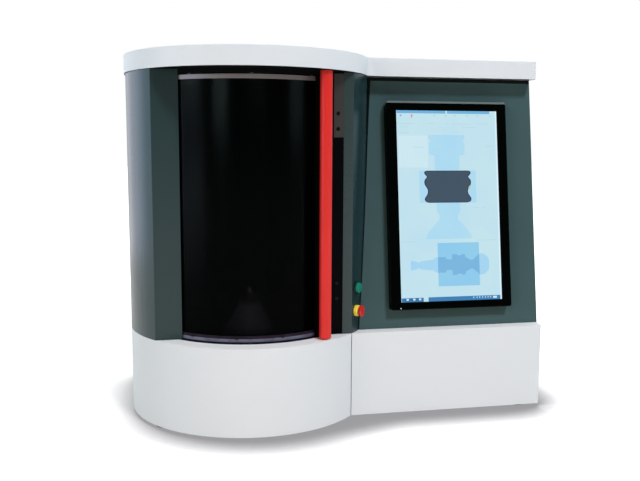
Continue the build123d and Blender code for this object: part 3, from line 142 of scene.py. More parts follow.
finishes = {
    "white_cover": {"colour": (0.662, 0.742, 0.785), "shade": 0.985, "rough": 0.42, "grainScale": 900, "grain": 0.00003,
                    "edge": 0.0015},
    "body_paint": {"colour": (0.047, 0.094, 0.1), "shade": 0.93, "rough": 0.34, "shine": 0.22, "grainScale": 1100,
                   "grain": 0.00003, "edge": 0.001},
    "smoked_glass": {"colour": (0.0002, 0.0005, 0.0005), "rough": 0.19, "shine": 0.02, "alpha": 0.89, "grain": 0,
                     "edge": 0},
    "black_metal": {"colour": (0.0016, 0.0017, 0.0026), "shade": 0.8, "rough": 0.4, "shine": 0.03},
    "rail_metal": {"colour": (0.22, 0.205, 0.215), "shade": 0.85, "rough": 0.38, "metal": 0.3, "stretch": (1, 1, 30)},
    "red_grip": {"colour": (0.64, 0.022, 0.018), "shade": 0.96, "rough": 0.36, "shine": 0.3, "grainScale": 1200},
    "bracket_metal": {"colour": (0.029, 0.0275, 0.028), "shade": 0.9, "rough": 0.45, "grainScale": 900},
    "machined_steel": {"colour": (0.62, 0.63, 0.65), "shade": 0.85, "rough": 0.28, "metal": 1, "patchScale": 60,
                       "stretch": (1, 1, 12), "grain": 0.00001},
    "cast_body": {"colour": (0.24, 0.27, 0.3), "shade": 0.9, "rough": 0.5, "grainScale": 400, "grain": 0.0001},
    "anodised": {"colour": (0.55, 0.56, 0.58), "shade": 0.94, "rough": 0.4, "metal": 0.9, "grainScale": 1500},
    "black_anodised": {"colour": (0.02, 0.02, 0.023), "shade": 0.85, "rough": 0.42, "metal": 0.4, "grainScale": 1500},
    "galvanised": {"colour": (0.5, 0.52, 0.54), "shade": 0.8, "rough": 0.42, "metal": 0.9, "patchScale": 90},
    "rubber_foot": {"colour": (0.018, 0.018, 0.018), "shade": 0.8, "rough": 0.85, "grainScale": 500, "grain": 0.0001},
    "belt_rubber": {"colour": (0.02, 0.02, 0.021), "shade": 0.8, "rough": 0.75, "grainScale": 500, "grain": 0.0001},
    "black_plastic": {"colour": (0.0006, 0.0013, 0.0012), "shade": 0.85, "rough": 0.16, "shine": 0.05,
                      "grainScale": 1500, "grain": 0.000004},
    "screen_glass": {"colour": (0.004, 0.004, 0.005), "shade": 0.9, "rough": 0.12, "shine": 0.35, "grain": 0},
    "green_cap": {"colour": (0.003, 0.25, 0.165), "shade": 0.92, "rough": 0.22, "grain": 0},
    # painted reflection: the dark bezel metal is tinted green, standing in for the green it reflects
    "bezel_metal": {"colour": (0.02, 0.045, 0.035), "shade": 0.8, "rough": 0.22, "metal": 0.4},
    "yellow_collar": {"colour": (0.93, 0.78, 0.09), "shade": 0.96, "rough": 0.4},
    "red_mushroom": {"colour": (0.6, 0.012, 0.014), "shade": 0.95, "rough": 0.28},
    "lens_glass": {"colour": (0.5, 0.62, 0.75), "shade": 0.96, "rough": 0.03, "alpha": 0.45, "grain": 0, "edge": 0},
    "green_board": {"colour": (0.09, 0.1, 0.11), "shade": 0.9, "rough": 0.5, "grainScale": 900},
}
dressed = {slot: makeFinish(slot, look) for slot, look in finishes.items()}
for node in nodes.values():
    for place in node.material_slots:
        place.material = dressed[place.material.name.split(".")[0]]


# painted light and shade: another tone for the faces of a material that look one way

def paintLightAndShadeByFacing(material, axis, start, full, tint):
    tree = material.node_tree
    shader = tree.nodes["Principled BSDF"]
    paint = shader.inputs["Base Color"].links[0].from_socket
    facing = tree.nodes.new("ShaderNodeNewGeometry")
    split = tree.nodes.new("ShaderNodeSeparateXYZ")
    turnTo = tree.nodes.new("ShaderNodeMapRange")
    turnTo.inputs["From Min"].default_value = start
    turnTo.inputs["From Max"].default_value = full
    mix = tree.nodes.new("ShaderNodeMix")
    mix.data_type = "RGBA"
    mix.inputs[colourB].default_value = (*tint, 1)
    joinUp(tree, facing.outputs["True Normal"], split.inputs["Vector"])
    joinUp(tree, split.outputs[axis], turnTo.inputs["Value"])
    joinUp(tree, turnTo.outputs["Result"], mix.inputs["Factor"])
    joinUp(tree, paint, mix.inputs[colourA])
    joinUp(tree, mix.outputs[colourOut], shader.inputs["Base Color"])


def repaint(name, look, slot):
    finish = makeFinish(name, {**finishes[slot], **look})
    for node in look["nodes"]:
        nodes[node].material_slots[0].material = finish
    return finish


# painted shade: the shell and its jamb have a darker copy of the body paint
drumShadedPaint = repaint("drum_paint_painted_shade", {"nodes": ["left_shell"], "colour": (0.021, 0.048, 0.05), "rough": 0.26,
                                   "shine": 0.3}, "body_paint")
paintLightAndShadeByFacing(drumShadedPaint, "Y", -0.85, -0.98, (0.016, 0.037, 0.039))  # painted shade: the jamb, which faces the front, is painted darker still
# painted shade: the wall with the buttons has a darker copy of the body paint
wallShadedPaint = repaint("wall_paint_painted_shade", {"nodes": ["control_wall"], "colour": (0.029, 0.053, 0.054), "rough": 0.28,
                                   "shine": 0.3}, "body_paint")
paintLightAndShadeByFacing(wallShadedPaint, "X", 0.25, 0.5, (0.009, 0.028, 0.032))  # painted shade: the curved wall with the buttons is painted darker still where it faces to the side
paintLightAndShadeByFacing(dressed["white_cover"], "Z", 0.7, 0.8, (0.88, 0.92, 0.905))  # painted light: the faces that look up, the ledges, are painted paler than the walls
lidWhiteShadedUnder = repaint("lid_white_painted_shade", {"nodes": ["top_lid"]}, "white_cover")
paintLightAndShadeByFacing(lidWhiteShadedUnder, "Z", -0.7, -0.8, (0.006, 0.007, 0.007))  # painted shade: the faces of the lid that look down are painted near black
repaint("track_black", {"nodes": ["door_tracks"], "colour": (0.003, 0.004, 0.004), "rough": 0.8, "metal": 0,
                        "shine": 0.04}, "rail_metal")
# painted reflection: the rail's dark purple tone comes in strong blotches, standing in for the reflections on it
repaint("foot_rail_painted_reflection", {"nodes": ["door_foot_rail"], "colour": (0.022, 0.012, 0.026), "shine": 0.12, "shade": 0.35,
                           "metal": 0, "patchScale": 60, "stretch": (1, 1, 1)}, "rail_metal")
repaint("inlet_black", {"nodes": ["power_inlet"], "colour": (0.006, 0.006, 0.007), "rough": 0.45, "shine": 0.3},
        "black_plastic")
repaint("rocker_black", {"nodes": ["power_switch"], "colour": (0.016, 0.016, 0.018), "rough": 0.3, "shine": 0.5},
        "black_plastic")
print("CAD nodes dressed")


# mesh helpers

def newPiece(name, points, faces, material, body, smooth=True):
    mesh = bpy.data.meshes.new(name)
    mesh.from_pydata([tuple(point) for point in points], [], faces)
    work = bmesh.new()
    work.from_mesh(mesh)
    bmesh.ops.recalc_face_normals(work, faces=work.faces)
    work.to_mesh(mesh)
    work.free()
    if smooth:
        mesh.shade_smooth()
        mesh.set_sharp_from_angle(angle=math.radians(35))
    mesh.materials.append(material)
    piece = bpy.data.objects.new(name, mesh)
    bpy.context.scene.collection.objects.link(piece)
    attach(piece, body)
    return piece


def addPrism(points, faces, outline, top, depth, place):
    first, count = len(points), len(outline)
    points += [place(x, y, top - depth) for x, y in outline]
    points += [place(x, y, top) for x, y in outline]
    faces.append([first + k for k in reversed(range(count))])
    faces.append([first + count + k for k in range(count)])
    for k in range(count):
        following = (k + 1) % count
        faces.append([first + k, first + following, first + count + following, first + count + k])


def rectangle(left, right, low, high):
    return [(left, low), (right, low), (right, high), (left, high)]


# sloping front of the box, measured across, up the slope and out of it

lean = math.radians(8.725)
panelFoot = Vector((drumX, panelBack, ledgeTop))
panelUp = Vector((0, math.sin(lean), math.cos(lean)))
panelOut = Vector((0, -math.cos(lean), math.sin(lean)))


def onPanel(x, y, out):
    return panelFoot + Vector((x, 0, 0)) + panelUp * y + panelOut * out


# picture on the screen

screen = {"left": 0.35385, "low": 0.0643, "wide": 0.2666, "tall": 0.4757, "face": 0.02362, "layer": 0.00008}


def screenInk(name, colour, glow=1.0):
    material, tree, shader = newTree(name)
    shader.inputs["Base Color"].default_value = (0.02, 0.02, 0.022, 1)
    shader.inputs["Roughness"].default_value = 0.16
    shader.inputs["Specular IOR Level"].default_value = 0.25
    shader.inputs["Emission Strength"].default_value = glow
    clouds = noiseAt(tree, 9, 2)
    cool = [part * shift for part, shift in zip(colour, (0.93, 0.97, 1.02))]
    joinUp(tree, blendColours(tree, clouds, cool, colour), shader.inputs["Emission Color"])
    return material


def drawOnScreen(name, shapes, material, layer):
    points, faces = [], []
    top = screen["face"] + layer * screen["layer"]
    for shape in shapes:
        outline = [(screen["left"] + x * screen["wide"], screen["low"] + y * screen["tall"]) for x, y in shape]
        addPrism(points, faces, outline, top, screen["layer"] * 0.9, onPanel)
    return newPiece(name, points, faces, material, "machine", smooth=False)


def turned(profile, centre, upright=True):
    near = [(centre - half, along) for along, half in profile]
    far = [(centre + half, along) for along, half in reversed(profile)]
    outline = near + far
    return outline if upright else [(y, x) for x, y in outline]


page = {"paper": (0.53, 0.75, 0.82), "edge": (0.72, 0.9, 0.98), "haze": (0.6, 0.79, 0.845)}
drawOnScreen("screen_page", [rectangle(0, 1, 0, 1)], screenInk("page", page["paper"]), 1)
drawOnScreen("screen_page_edges", [rectangle(0, 0.012, 0, 1), rectangle(0.986, 1, 0, 1)],
             screenInk("pageEdge", page["edge"]), 2)
drawOnScreen("screen_side_field", [rectangle(0.022, 0.306, 0.7, 0.868)], screenInk("haze", page["haze"]), 2)

bars = {"title": (0.15, 0.43, 0.7), "task": (0.03, 0.2, 0.44), "button": (0.02, 0.15, 0.35), "mark": (0.6, 0.8, 0.92)}
titleParts = [rectangle(0.012, 0.49, 0.985, 1), rectangle(0.506, 0.93, 0.985, 1)]
drawOnScreen("screen_title_bar", titleParts, screenInk("title", bars["title"]), 3)
taskParts = [rectangle(0.012, 0.225, 0, 0.021), rectangle(0.272, 0.986, 0, 0.022)]
drawOnScreen("screen_task_bar", taskParts, screenInk("task", bars["task"]), 3)
drawOnScreen("screen_task_start", [rectangle(0.032, 0.222, 0.004, 0.021)], screenInk("taskButton", bars["button"]), 4)
marks = [rectangle(x - 0.011, x + 0.011, 0.008, 0.018) for x in (0.07, 0.134, 0.19)]
marks += [rectangle(x - 0.004, x + 0.004, 0.01, 0.018) for x in (0.718, 0.751, 0.777, 0.806, 0.835, 0.861, 0.887)]
marks += [rectangle(0.912, 0.95, 0.007, 0.018)]
drawOnScreen("screen_task_marks", marks, screenInk("taskMark", bars["mark"]), 5)

tools = {"plain": (0.36, 0.58, 0.68), "blue": (0.24, 0.42, 0.7), "warm": (0.72, 0.3, 0.42)}
small = [rectangle(x - 0.006, x + 0.006, 0.971, 0.978) for x in (0.379, 0.492, 0.584, 0.705, 0.808, 0.935)]
drawOnScreen("screen_tool_marks", small, screenInk("toolMark", tools["plain"]), 4)
drawOnScreen("screen_tool_blue", [rectangle(0.043, 0.059, 0.969, 0.978)], screenInk("toolBlue", tools["blue"]), 4)
pin = [(0.152, 0.966), (0.158, 0.958), (0.164, 0.966), (0.169, 0.973), (0.164, 0.98), (0.152, 0.98), (0.147, 0.973)]
drawOnScreen("screen_tool_pin", [pin], screenInk("toolPin", tools["warm"]), 4)
rules = [rectangle(left, right, low, low + 0.002) for left, right, low in (
    (0.012, 0.187, 0.93), (0.302, 0.389, 0.932), (0.49, 0.52, 0.932), (0.549, 0.725, 0.93), (0.814, 0.903, 0.931),
    (0.032, 0.122, 0.912), (0.417, 0.446, 0.912), (0.654, 0.794, 0.911), (0.031, 0.124, 0.882), (0.57, 0.6, 0.885),
    (0.17, 0.27, 0.806), (0.87, 0.95, 0.813), (0.029, 0.156, 0.312), (0.755, 0.968, 0.314), (0.75, 0.8, 0.487),
    (0.82, 0.86, 0.486))]
drawOnScreen("screen_field_lines", rules, screenInk("fieldLine", (0.42, 0.64, 0.71)), 4)

shaft = {"middle": 0.494, "pale": (0.42, 0.7, 0.845), "zone": (0.41, 0.69, 0.85), "dark": (0.036, 0.07, 0.105),
         "rim": (0.014, 0.028, 0.075)}
above = [(0.872, 0.18), (0.853, 0.18), (0.846, 0.162), (0.838, 0.16), (0.831, 0.177), (0.767, 0.174), (0.764, 0.124),
         (0.685, 0.121)]
below = [(0.514, 0.118), (0.47, 0.116), (0.456, 0.1), (0.45, 0.09), (0.425, 0.091), (0.412, 0.119), (0.393, 0.15),
         (0.374, 0.184), (0.344, 0.22), (0.325, 0.228)]
drawOnScreen("screen_shaft_upright", [turned(above, shaft["middle"]), turned(below, shaft["middle"])],
             screenInk("shaftPale", shaft["pale"]), 3)
drawOnScreen("screen_measured_zone", [rectangle(0.215, 0.775, 0.514, 0.685)], screenInk("zoneBlue", shaft["zone"]), 4)
grooved = [(0.684, 0.2), (0.682, 0.218), (0.677, 0.229), (0.67, 0.23), (0.661, 0.219), (0.653, 0.206), (0.648, 0.206),
           (0.641, 0.219), (0.633, 0.229), (0.623, 0.231), (0.612, 0.229), (0.602, 0.219), (0.591, 0.205),
           (0.581, 0.199), (0.571, 0.198), (0.561, 0.203), (0.549, 0.217), (0.54, 0.229), (0.532, 0.231),
           (0.524, 0.226), (0.518, 0.21), (0.515, 0.187)]
drawOnScreen("screen_grooved_rim", [turned(grooved, shaft["middle"])], screenInk("grooveRim", shaft["rim"]), 5)
inner = [(min(max(y, 0.5185), 0.6805), half - 0.011) for y, half in grooved]
drawOnScreen("screen_grooved_part", [turned(inner, shaft["middle"])], screenInk("grooveDark", shaft["dark"]), 6)
chip = [(0.727, 0.61), (0.713, 0.606), (0.7, 0.597), (0.697, 0.588), (0.703, 0.583), (0.715, 0.593), (0.724, 0.602)]
drawOnScreen("screen_grooved_mark", [chip], screenInk("grooveMark", (0.42, 0.62, 0.4)), 7)

lie = {"middle": 0.189, "pale": (0.36, 0.65, 0.85), "deep": (0.18, 0.45, 0.71), "zone": (0.265, 0.585, 0.81)}
drawOnScreen("screen_overview_zone", [rectangle(0.375, 0.785, 0.077, 0.304)], screenInk("overviewBlue", lie["zone"]), 3)
tailEnd = [(0.11, 0.0225), (0.126, 0.025), (0.166, 0.0195), (0.18, 0.0145), (0.194, 0.0155), (0.208, 0.02),
           (0.272, 0.0255), (0.329, 0.0275), (0.344, 0.037), (0.375, 0.0415)]
within = [(0.375, 0.0415), (0.387, 0.0415), (0.395, 0.039), (0.405, 0.0415), (0.413, 0.039), (0.425, 0.0415),
          (0.45, 0.04), (0.462, 0.0275), (0.512, 0.028), (0.517, 0.0545), (0.563, 0.054), (0.57, 0.048),
          (0.603, 0.048), (0.613, 0.0545), (0.64, 0.054), (0.649, 0.038), (0.697, 0.023), (0.719, 0.023),
          (0.785, 0.0545)]
headEnd = [(0.785, 0.0545), (0.807, 0.0565), (0.83, 0.053), (0.848, 0.047), (0.866, 0.037), (0.879, 0.028),
           (0.882, 0.01)]
drawOnScreen("screen_shaft_lying_ends", [turned(part, lie["middle"], False) for part in (tailEnd, headEnd)],
             screenInk("lyingPale", lie["pale"]), 4)
drawOnScreen("screen_shaft_lying", [turned(within, lie["middle"], False)], screenInk("lyingDeep", lie["deep"]), 5)
print("screen picture drawn")


# small fittings

def lathed(points, faces, profile, centre, outward, sides=24):
    spin = outward.to_track_quat("Z", "Y").to_matrix()
    first = len(points)
    for radius, along in profile:
        for k in range(sides):
            angle = 2 * math.pi * k / sides
            points.append(centre + spin @ Vector((radius * math.cos(angle), radius * math.sin(angle), along)))
    for row in range(len(profile) - 1):
        for k in range(sides):
            a, b = first + row * sides + k, first + row * sides + (k + 1) % sides
            faces.append([a, b, b + sides, a + sides])
    faces.append([first + k for k in range(sides)])
    faces.append([first + (len(profile) - 1) * sides + k for k in range(sides)])


def addScrews(name, look, places, material, body):
    points, faces = [], []
    r, h = look["radius"], look["height"]
    key = r * 0.5  # socket for the key
    profile = [(r, -0.0002), (r, h * 0.5), (r * 0.86, h * 0.9), (r * 0.7, h), (key, h), (key, h * 0.3),
               (key * 0.8, h * 0.2)]
    for centre, outward in places:
        lathed(points, faces, profile, Vector(centre), Vector(outward), 18)
    return newPiece(name, points, faces, material, body)


def onDrum(radius, degrees, z):
    angle = math.radians(degrees)
    return Vector((drumX + radius * math.cos(angle), radius * math.sin(angle), z))


def outOfDrum(degrees):
    return Vector((math.cos(math.radians(degrees)), math.sin(math.radians(degrees)), 0))


screwBlack = makeFinish("screw_black", {"colour": (0.004, 0.004, 0.004), "rough": 0.3, "shine": 0.12, "edge": 0.0003})
bracketScrews = {"radius": 0.0046, "height": 0.0014}
addScrews("bracket_screws", bracketScrews, [((-0.0225, -0.195, z), (0, -1, 0)) for z in (0.737, 0.7013)], screwBlack,
          "machine")
postScrews = {"radius": 0.0042, "height": 0.0012}
addScrews("post_screws", postScrews, [((-0.024, -0.194, z), (0, -1, 0)) for z in (0.337, 0.3004)],
          screwBlack, "machine")
railScrews = {"radius": 0.0038, "height": 0.0009}
addScrews("foot_rail_screws", railScrews, [(onDrum(0.2485, a, 0.2248), outOfDrum(a)) for a in (-128, -102.8, -78.2)],
          screwBlack, "door")


def curvedStrip(name, look, material, body):
    points, faces = [], []
    inner, outer, low, high = look["inner"], look["outer"], look["low"], look["high"]
    soft = look["soft"]
    section = [(inner, low), (outer - soft, low), (outer, low + soft), (outer, high - soft), (outer - soft, high),
               (inner, high)]
    steps = look["steps"]
    for k in range(steps + 1):
        angle = look["start"] + (look["end"] - look["start"]) * k / steps
        points += [onDrum(radius, angle, z) for radius, z in section]
    ring = len(section)
    for k in range(steps):
        for side in range(ring):
            a, b = k * ring + side, k * ring + (side + 1) % ring
            faces.append([a, b, b + ring, a + ring])
    faces += [list(range(ring)), [steps * ring + side for side in range(ring)]]
    return newPiece(name, points, faces, material, body)


# painted highlight: a pale violet strip along the foot of the door stands in for the bluish line of light there
violetHighlight = makeFinish("violet_painted_highlight", {"colour": (0.115, 0.135, 0.2), "shade": 0.55, "rough": 0.35, "patchScale": 40})
footHighlight = {"inner": 0.24852, "outer": 0.2492, "low": 0.2162, "high": 0.2235, "soft": 0.0002, "start": -138.2,
            "end": -49.8, "steps": 60}
curvedStrip("door_foot_highlight_strip", footHighlight, violetHighlight, "door")

# painted shade: a black sheet under the front of the lid, where its shade falls
underLidShadeBlack = makeFinish("under_lid_shade_black", {"colour": (0.002, 0.003, 0.003), "rough": 0.85, "shine": 0.03, "edge": 0})
underLidShade = {"inner": 0.2575, "outer": 0.2992, "low": 0.8314, "high": 0.8319, "soft": 0.0001, "start": -147, "end": -33,
          "steps": 72}
curvedStrip("lid_painted_shade_sheet", underLidShade, underLidShadeBlack, "machine")

# painted shade: a black strip in the corner where the drum meets the sloping panel, widening at the top into the shade
# under the lid
cornerShade = {"low": 0.001, "high": 0.6265, "gap": 0.0003, "wide": 0.0016, "flare": 0.0075, "thick": 0.0006, "sunk": 0.00005,
         "steps": 24}
inEdge, outEdge = [], []
for k in range(cornerShade["steps"] + 1):
    rise = cornerShade["low"] + (cornerShade["high"] - cornerShade["low"]) * k / cornerShade["steps"]
    back = panelBack + rise * math.sin(lean)
    side = math.sqrt(drumRadius ** 2 - back ** 2) + cornerShade["gap"]
    inEdge.append((side, rise))
    outEdge.append((side + cornerShade["wide"] + cornerShade["flare"] * (k / cornerShade["steps"]) ** 5, rise))
shadeBlack = makeFinish("painted_shade_black", {"colour": (0.002, 0.004, 0.004), "rough": 0.6, "shine": 0.1})
points, faces = [], []
addPrism(points, faces, inEdge + outEdge[::-1], cornerShade["thick"], cornerShade["thick"] - cornerShade["sunk"], onPanel)
newPiece("panel_corner_painted_shade", points, faces, shadeBlack, "machine")

# painted shade: a black strip at the head of the panel, just under the lid, where the gap lies in shade
panelHead = (lidBottom - ledgeTop) / math.cos(lean)
headShade = {"left": 0.292, "right": 0.7245, "tall": 0.0085, "gap": 0.0003, "thick": 0.0008, "sunk": 0.00005}
points, faces = [], []
addPrism(points, faces, rectangle(headShade["left"], headShade["right"], panelHead - headShade["tall"], panelHead - headShade["gap"]),
         headShade["thick"], headShade["thick"] - headShade["sunk"], onPanel)
newPiece("panel_head_painted_shade", points, faces, shadeBlack, "machine")

# screws of the rear panel
rearScrews = {"radius": 0.0048, "height": 0.0016}
rim = [(x, z) for x in (-0.435, -0.2, 0.035, 0.27, 0.5) for z in (0.03, 0.812)]
rim += [(x, z) for x in (-0.435, 0.5) for z in (0.225, 0.42, 0.615)]
addScrews("rear_panel_screws", rearScrews, [((x, 0.29, z), (0, 1, 0)) for x, z in rim], screwBlack, "machine")

# openings and contacts of the sockets at the rear; the openings are flat black patches, partly the black inside of the
# sockets and partly painted shade of their depth
sockets = {"face": 0.288, "columns": (0.287, 0.312, 0.337), "network": 0.304, "data": 0.276, "deep": 0.0003,
           "pins": 7, "pinPitch": 0.0012, "pinHalf": 0.0003, "pinLow": 0.3022, "pinHigh": 0.3054,
           "dataHalf": (0.0066, 0.0026), "tongueHalf": 0.0052, "tongueLow": 0.0002, "tongueHigh": 0.0014}
dataWide, dataTall = sockets["dataHalf"]
firstPin = -(sockets["pins"] // 2)
networkShape = [(-0.0058, -0.0044), (0.0058, -0.0044), (0.0058, 0.0022), (0.0032, 0.0022), (0.0032, 0.0044),
                (-0.0032, 0.0044), (-0.0032, 0.0022), (-0.0058, 0.0022)]
openings, contacts = [], []
for x in sockets["columns"]:
    openings.append([(x + across, sockets["network"] + rise) for across, rise in networkShape])
    for k in range(firstPin, firstPin + sockets["pins"]):
        pinX = x + k * sockets["pinPitch"]
        contacts.append(rectangle(pinX - sockets["pinHalf"], pinX + sockets["pinHalf"], sockets["pinLow"],
                                  sockets["pinHigh"]))
    openings.append(rectangle(x - dataWide, x + dataWide, sockets["data"] - dataTall, sockets["data"] + dataTall))
    contacts.append(rectangle(x - sockets["tongueHalf"], x + sockets["tongueHalf"],
                              sockets["data"] - sockets["tongueLow"], sockets["data"] + sockets["tongueHigh"]))


def onRear(x, z, out):
    return Vector((x, sockets["face"] + out, z))


socketBlack = makeFinish("socket_black", {"colour": (0.003, 0.003, 0.004), "rough": 0.5, "shine": 0.2, "edge": 0})
contactGold = makeFinish("contact_gold", {"colour": (0.72, 0.5, 0.2), "shade": 0.8, "rough": 0.3, "metal": 1, "edge": 0,
                                          "patchScale": 300})
for name, shapes, material, rise in (("socket_openings", openings, socketBlack, 1),
                                     ("socket_contacts", contacts, contactGold, 2)):
    points, faces = [], []
    for shape in shapes:
        addPrism(points, faces, shape, sockets["deep"] * rise, sockets["deep"] * 0.95, onRear)
    newPiece(name, points, faces, material, "machine", smooth=False)

# painted highlight: a pale grey bead along the top of the monitor, where its top edge catches the light
bead = {"left": 0.3325, "right": 0.6446, "low": 0.5585, "high": 0.5638, "back": 0.006, "front": 0.0246, "soft": 0.0022,
        "endDrop": 0.0028, "endRun": 0.003}
points, faces = [], []
soft = bead["soft"]
section = [(bead["low"], bead["back"]), (bead["low"], bead["front"])]
for k in range(7):
    angle = math.pi / 2 * k / 6
    section.append((bead["high"] - soft + soft * math.sin(angle), bead["front"] - soft + soft * math.cos(angle)))
section.append((bead["high"], bead["back"]))
for x, inset in ((bead["left"], bead["endDrop"]), (bead["left"] + bead["endRun"], 0),
                 (bead["right"] - bead["endRun"], 0), (bead["right"], bead["endDrop"])):
    points += [onPanel(x, min(y, bead["high"] - inset), out) for y, out in section]
ring = len(section)
for row in range(3):
    for side in range(ring):
        a, b = row * ring + side, row * ring + (side + 1) % ring
        faces.append([a, b, b + ring, a + ring])
faces += [list(range(ring)), [3 * ring + side for side in range(ring)]]
beadHighlightGrey = makeFinish("bead_painted_highlight", {"colour": (0.2, 0.26, 0.26), "rough": 0.3, "metal": 0.4, "edge": 0.0004})
newPiece("monitor_top_bead", points, faces, beadHighlightGrey, "machine")

# small lamp in the bezel of the monitor
lampSpot = {"x": 0.3545, "y": 0.0495, "radius": 0.0013}
points, faces = [], []
dome = [(lampSpot["radius"] * math.cos(k * math.pi / 10), 0.0006 * math.sin(k * math.pi / 10)) for k in range(5)]
lathed(points, faces, [(lampSpot["radius"], -0.0003)] + dome, onPanel(lampSpot["x"], lampSpot["y"], 0.025), panelOut)
newPiece("monitor_lamp", points, faces, screenInk("lampWhite", (0.8, 0.9, 1), 1.0), "machine")
print("small fittings made")


# floor

floor = {"reach": 40, "colour": (0.93, 0.92, 0.9), "shadowReach": 0.15, "shadowLean": (-0.22, 0.32, 0.85),
         "darkest": (0, 0, 0), "palest": (1, 1, 1), "liftNear": (0.337, 0.333, 0.345),
         "liftFar": (0.72, 0.72, 0.72), "bounce": (0.76, 0.735, 0.69), "mirrored": 0.4, "shadowSpan": (0.49, 1),
         "liftSpan": (0.63, 1), "rough": 0.9, "shine": 0.1}
half = floor["reach"] / 2
floorMesh = bpy.data.meshes.new("floor")
floorMesh.from_pydata([(-half, -half, 0), (half, -half, 0), (half, half, 0), (-half, half, 0)], [], [(0, 1, 2, 3)])
floorPiece = bpy.data.objects.new("floor", floorMesh)
bpy.context.scene.collection.objects.link(floorPiece)
floorFinish, tree, shader = newTree("floorFinish")
nearBase = tree.nodes.new("ShaderNodeAmbientOcclusion")  # deepens the object's own shadow close to its base
nearBase.samples = 16
nearBase.inputs["Distance"].default_value = floor["shadowReach"]
leaning = tree.nodes.new("ShaderNodeCombineXYZ")
for axis, part in zip("XYZ", Vector(floor["shadowLean"]).normalized()):
    leaning.inputs[axis].default_value = part
joinUp(tree, leaning.outputs["Vector"], nearBase.inputs["Normal"])
shadow = blendColours(tree, nearBase.outputs["AO"], floor["darkest"], floor["palest"], *floor["shadowSpan"])
glow = blendColours(tree, nearBase.outputs["AO"], floor["liftNear"], floor["liftFar"], *floor["liftSpan"])
cloud = blendColours(tree, noiseAt(tree, 1.5), [part * 0.99 for part in floor["colour"]], floor["colour"])
path = tree.nodes.new("ShaderNodeLightPath")
seen = tree.nodes.new("ShaderNodeMath")  # metal and glass show the floor as the camera does, a little dimmer
seen.operation = "MULTIPLY_ADD"
seen.inputs[1].default_value = floor["mirrored"]
joinUp(tree, path.outputs["Is Glossy Ray"], seen.inputs[0])
joinUp(tree, path.outputs["Is Camera Ray"], seen.inputs[2])
shadowSeen = tree.nodes.new("ShaderNodeMix")  # the deeper shadow takes no light from the object
shadowSeen.data_type = "RGBA"
shadowSeen.inputs[colourA].default_value = (*floor["bounce"], 1)
joinUp(tree, seen.outputs["Value"], shadowSeen.inputs["Factor"])
joinUp(tree, shadow, shadowSeen.inputs[colourB])
darken = tree.nodes.new("ShaderNodeMix")
darken.data_type = "RGBA"
darken.blend_type = "MULTIPLY"
darken.inputs["Factor"].default_value = 1
joinUp(tree, cloud, darken.inputs[colourA])
joinUp(tree, shadowSeen.outputs[colourOut], darken.inputs[colourB])
joinUp(tree, darken.outputs[colourOut], shader.inputs["Base Color"])
shader.inputs["Roughness"].default_value = floor["rough"]
shader.inputs["Specular IOR Level"].default_value = floor["shine"]
joinUp(tree, glow, shader.inputs["Emission Color"])
joinUp(tree, seen.outputs["Value"], shader.inputs["Emission Strength"])
floorMesh.materials.append(floorFinish)
print("floor laid")


# studio

studio = {"front": (0.11, 0.11, 0.09), "back": (0.77, 0.85, 0.865), "fadeFrom": -0.55, "fadeTo": 0.35}
world = bpy.data.worlds.new("studio")
bpy.context.scene.world = world
world.use_nodes = True
tree = world.node_tree
around = tree.nodes["Background"]
place = tree.nodes.new("ShaderNodeTexCoord")
split = tree.nodes.new("ShaderNodeSeparateXYZ")
joinUp(tree, place.outputs["Generated"], split.inputs["Vector"])
fade = tree.nodes.new("ShaderNodeMapRange")
fade.interpolation_type = "SMOOTHSTEP"
fade.inputs["From Min"].default_value = studio["fadeFrom"]
fade.inputs["From Max"].default_value = studio["fadeTo"]
joinUp(tree, split.outputs["Y"], fade.inputs["Value"])
joinUp(tree, blendColours(tree, fade.outputs["Result"], studio["front"], studio["back"], 0, 1), around.inputs["Color"])
plain = tree.nodes.new("ShaderNodeBackground")
plain.inputs["Color"].default_value = (1, 1, 1, 1)
rays = tree.nodes.new("ShaderNodeLightPath")
either = tree.nodes.new("ShaderNodeMath")
either.operation = "MAXIMUM"
joinUp(tree, rays.outputs["Is Camera Ray"], either.inputs[0])
joinUp(tree, rays.outputs["Is Transmission Ray"], either.inputs[1])
choice = tree.nodes.new("ShaderNodeMixShader")
joinUp(tree, either.outputs["Value"], choice.inputs["Fac"])
joinUp(tree, around.outputs["Background"], choice.inputs[1])
joinUp(tree, plain.outputs["Background"], choice.inputs[2])
joinUp(tree, choice.outputs["Shader"], tree.nodes["World Output"].inputs["Surface"])


def addLamp(name, look):
    lamp = bpy.data.lights.new(name, "AREA")
    lamp.shape = "RECTANGLE"
    lamp.size, lamp.size_y = look["size"]
    lamp.energy = look["power"]
    lamp.color = look["tint"]
    holder = bpy.data.objects.new(name, lamp)
    direction = Vector(look["aim"]) - Vector(look["spot"])
    facing = direction.to_track_quat("-Z", "Y").to_matrix().to_4x4()
    holder.matrix_world = Matrix.Translation(look["spot"]) @ facing
    holder.visible_glossy = look.get("mirrored", False)
    holder.visible_diffuse = not look.get("mirrored", False)
    bpy.context.scene.collection.objects.link(holder)
    return holder


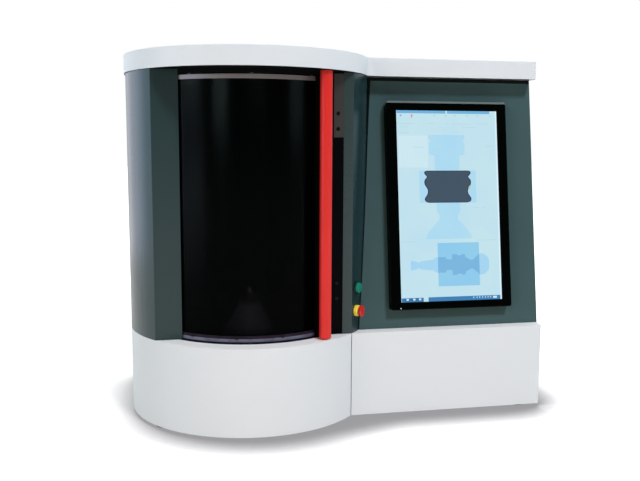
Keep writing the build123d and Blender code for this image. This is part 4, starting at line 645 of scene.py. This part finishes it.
lamps = {
    "key_lamp": {"spot": (3.58, -7.69, 10.4), "aim": (0, 0, 0.3), "size": (2.6, 2), "power": 1300,
                 "tint": (0.943, 0.914, 1)},
    "left_lamp": {"spot": (-7.5, -5.0, 3.2), "aim": (0, 0, 0.3), "size": (4, 4), "power": 236, "tint": (1, 0.86, 0.83)},
    "low_lamp": {"spot": (0.15, -1.5, 0.07), "aim": (0.15, -0.2, 0.07), "size": (2.2, 0.1), "power": 2.7,
                 "tint": (1, 0.6, 0.27)},
    "shell_card": {"spot": (-2.2, 2.0, 0.8), "aim": (-0.3, 0, 0.5), "size": (2.2, 2.8), "power": 18.5,
                   "tint": (0.81, 0.78, 1), "mirrored": True},  # these cards are seen only as gloss
    "shell_card_side": {"spot": (-2.9, 0.9, 0.7), "aim": (-0.3, 0, 0.5), "size": (2.4, 2.4), "power": 16.5,
                        "tint": (0.3, 0.61, 1), "mirrored": True},
    "shell_card_front": {"spot": (-2.9, -0.8, 0.5), "aim": (-0.3, 0, 0.45), "size": (2, 2), "power": 31,
                         "tint": (0.66, 0.76, 1), "mirrored": True},
}
for name, look in lamps.items():
    addLamp(name, look)

# soft reflections in the door glass, placed round the drum by angle, height, width, tallness and brightness
glassOnly = bpy.data.collections.new("glassOnly")
glassOnly.objects.link(nodes["door_glass"])
glassCards = {"reach": 3.0, "centre": (-0.3, -0.1), "tint": (0.72, 1, 1), "places": {
    "edge": (-176, 1.3, 0.35, 2.4, 4), "left": (-160, 1.6, 0.95, 1.1, 18), "leftLow": (-157, 0.42, 0.9, 0.28, 4),
    "middle": (-125, 1.5, 0.8, 1.4, 13), "front": (-84, 1.6, 0.9, 1.0, 8), "right": (-40, 1.4, 0.8, 1.4, 6),
    "rightLow": (-26, 0.1, 0.7, 0.6, 3)}}
reach = glassCards["reach"]
middleX, middleY = glassCards["centre"]
for name, (angle, height, wide, tall, bright) in glassCards["places"].items():
    across, along = reach * math.cos(math.radians(angle)), reach * math.sin(math.radians(angle))
    spot = (middleX + across, middleY + along, height)
    card = addLamp("glass_card_" + name, {"spot": spot, "aim": (middleX, middleY, height), "size": (wide, tall),
                                          "power": bright * math.pi * wide * tall, "tint": glassCards["tint"],
                                          "mirrored": True})
    card.light_linking.receiver_collection = glassOnly
# faint work light on the centre, seen through the glass
chamberOnly = bpy.data.collections.new("chamberOnly")
for name in ("headstock_housing", "spindle", "lower_centre"):
    chamberOnly.objects.link(nodes[name])
workLight = addLamp("work_light", {"spot": (drumX, -0.2, 0.45), "aim": (drumX, 0, 0.25), "size": (0.09, 0.03),
                                   "power": 1.3, "tint": (0.92, 0.8, 1)})
workLight.visible_glossy = True
workLight.light_linking.receiver_collection = chamberOnly
print("studio lit")
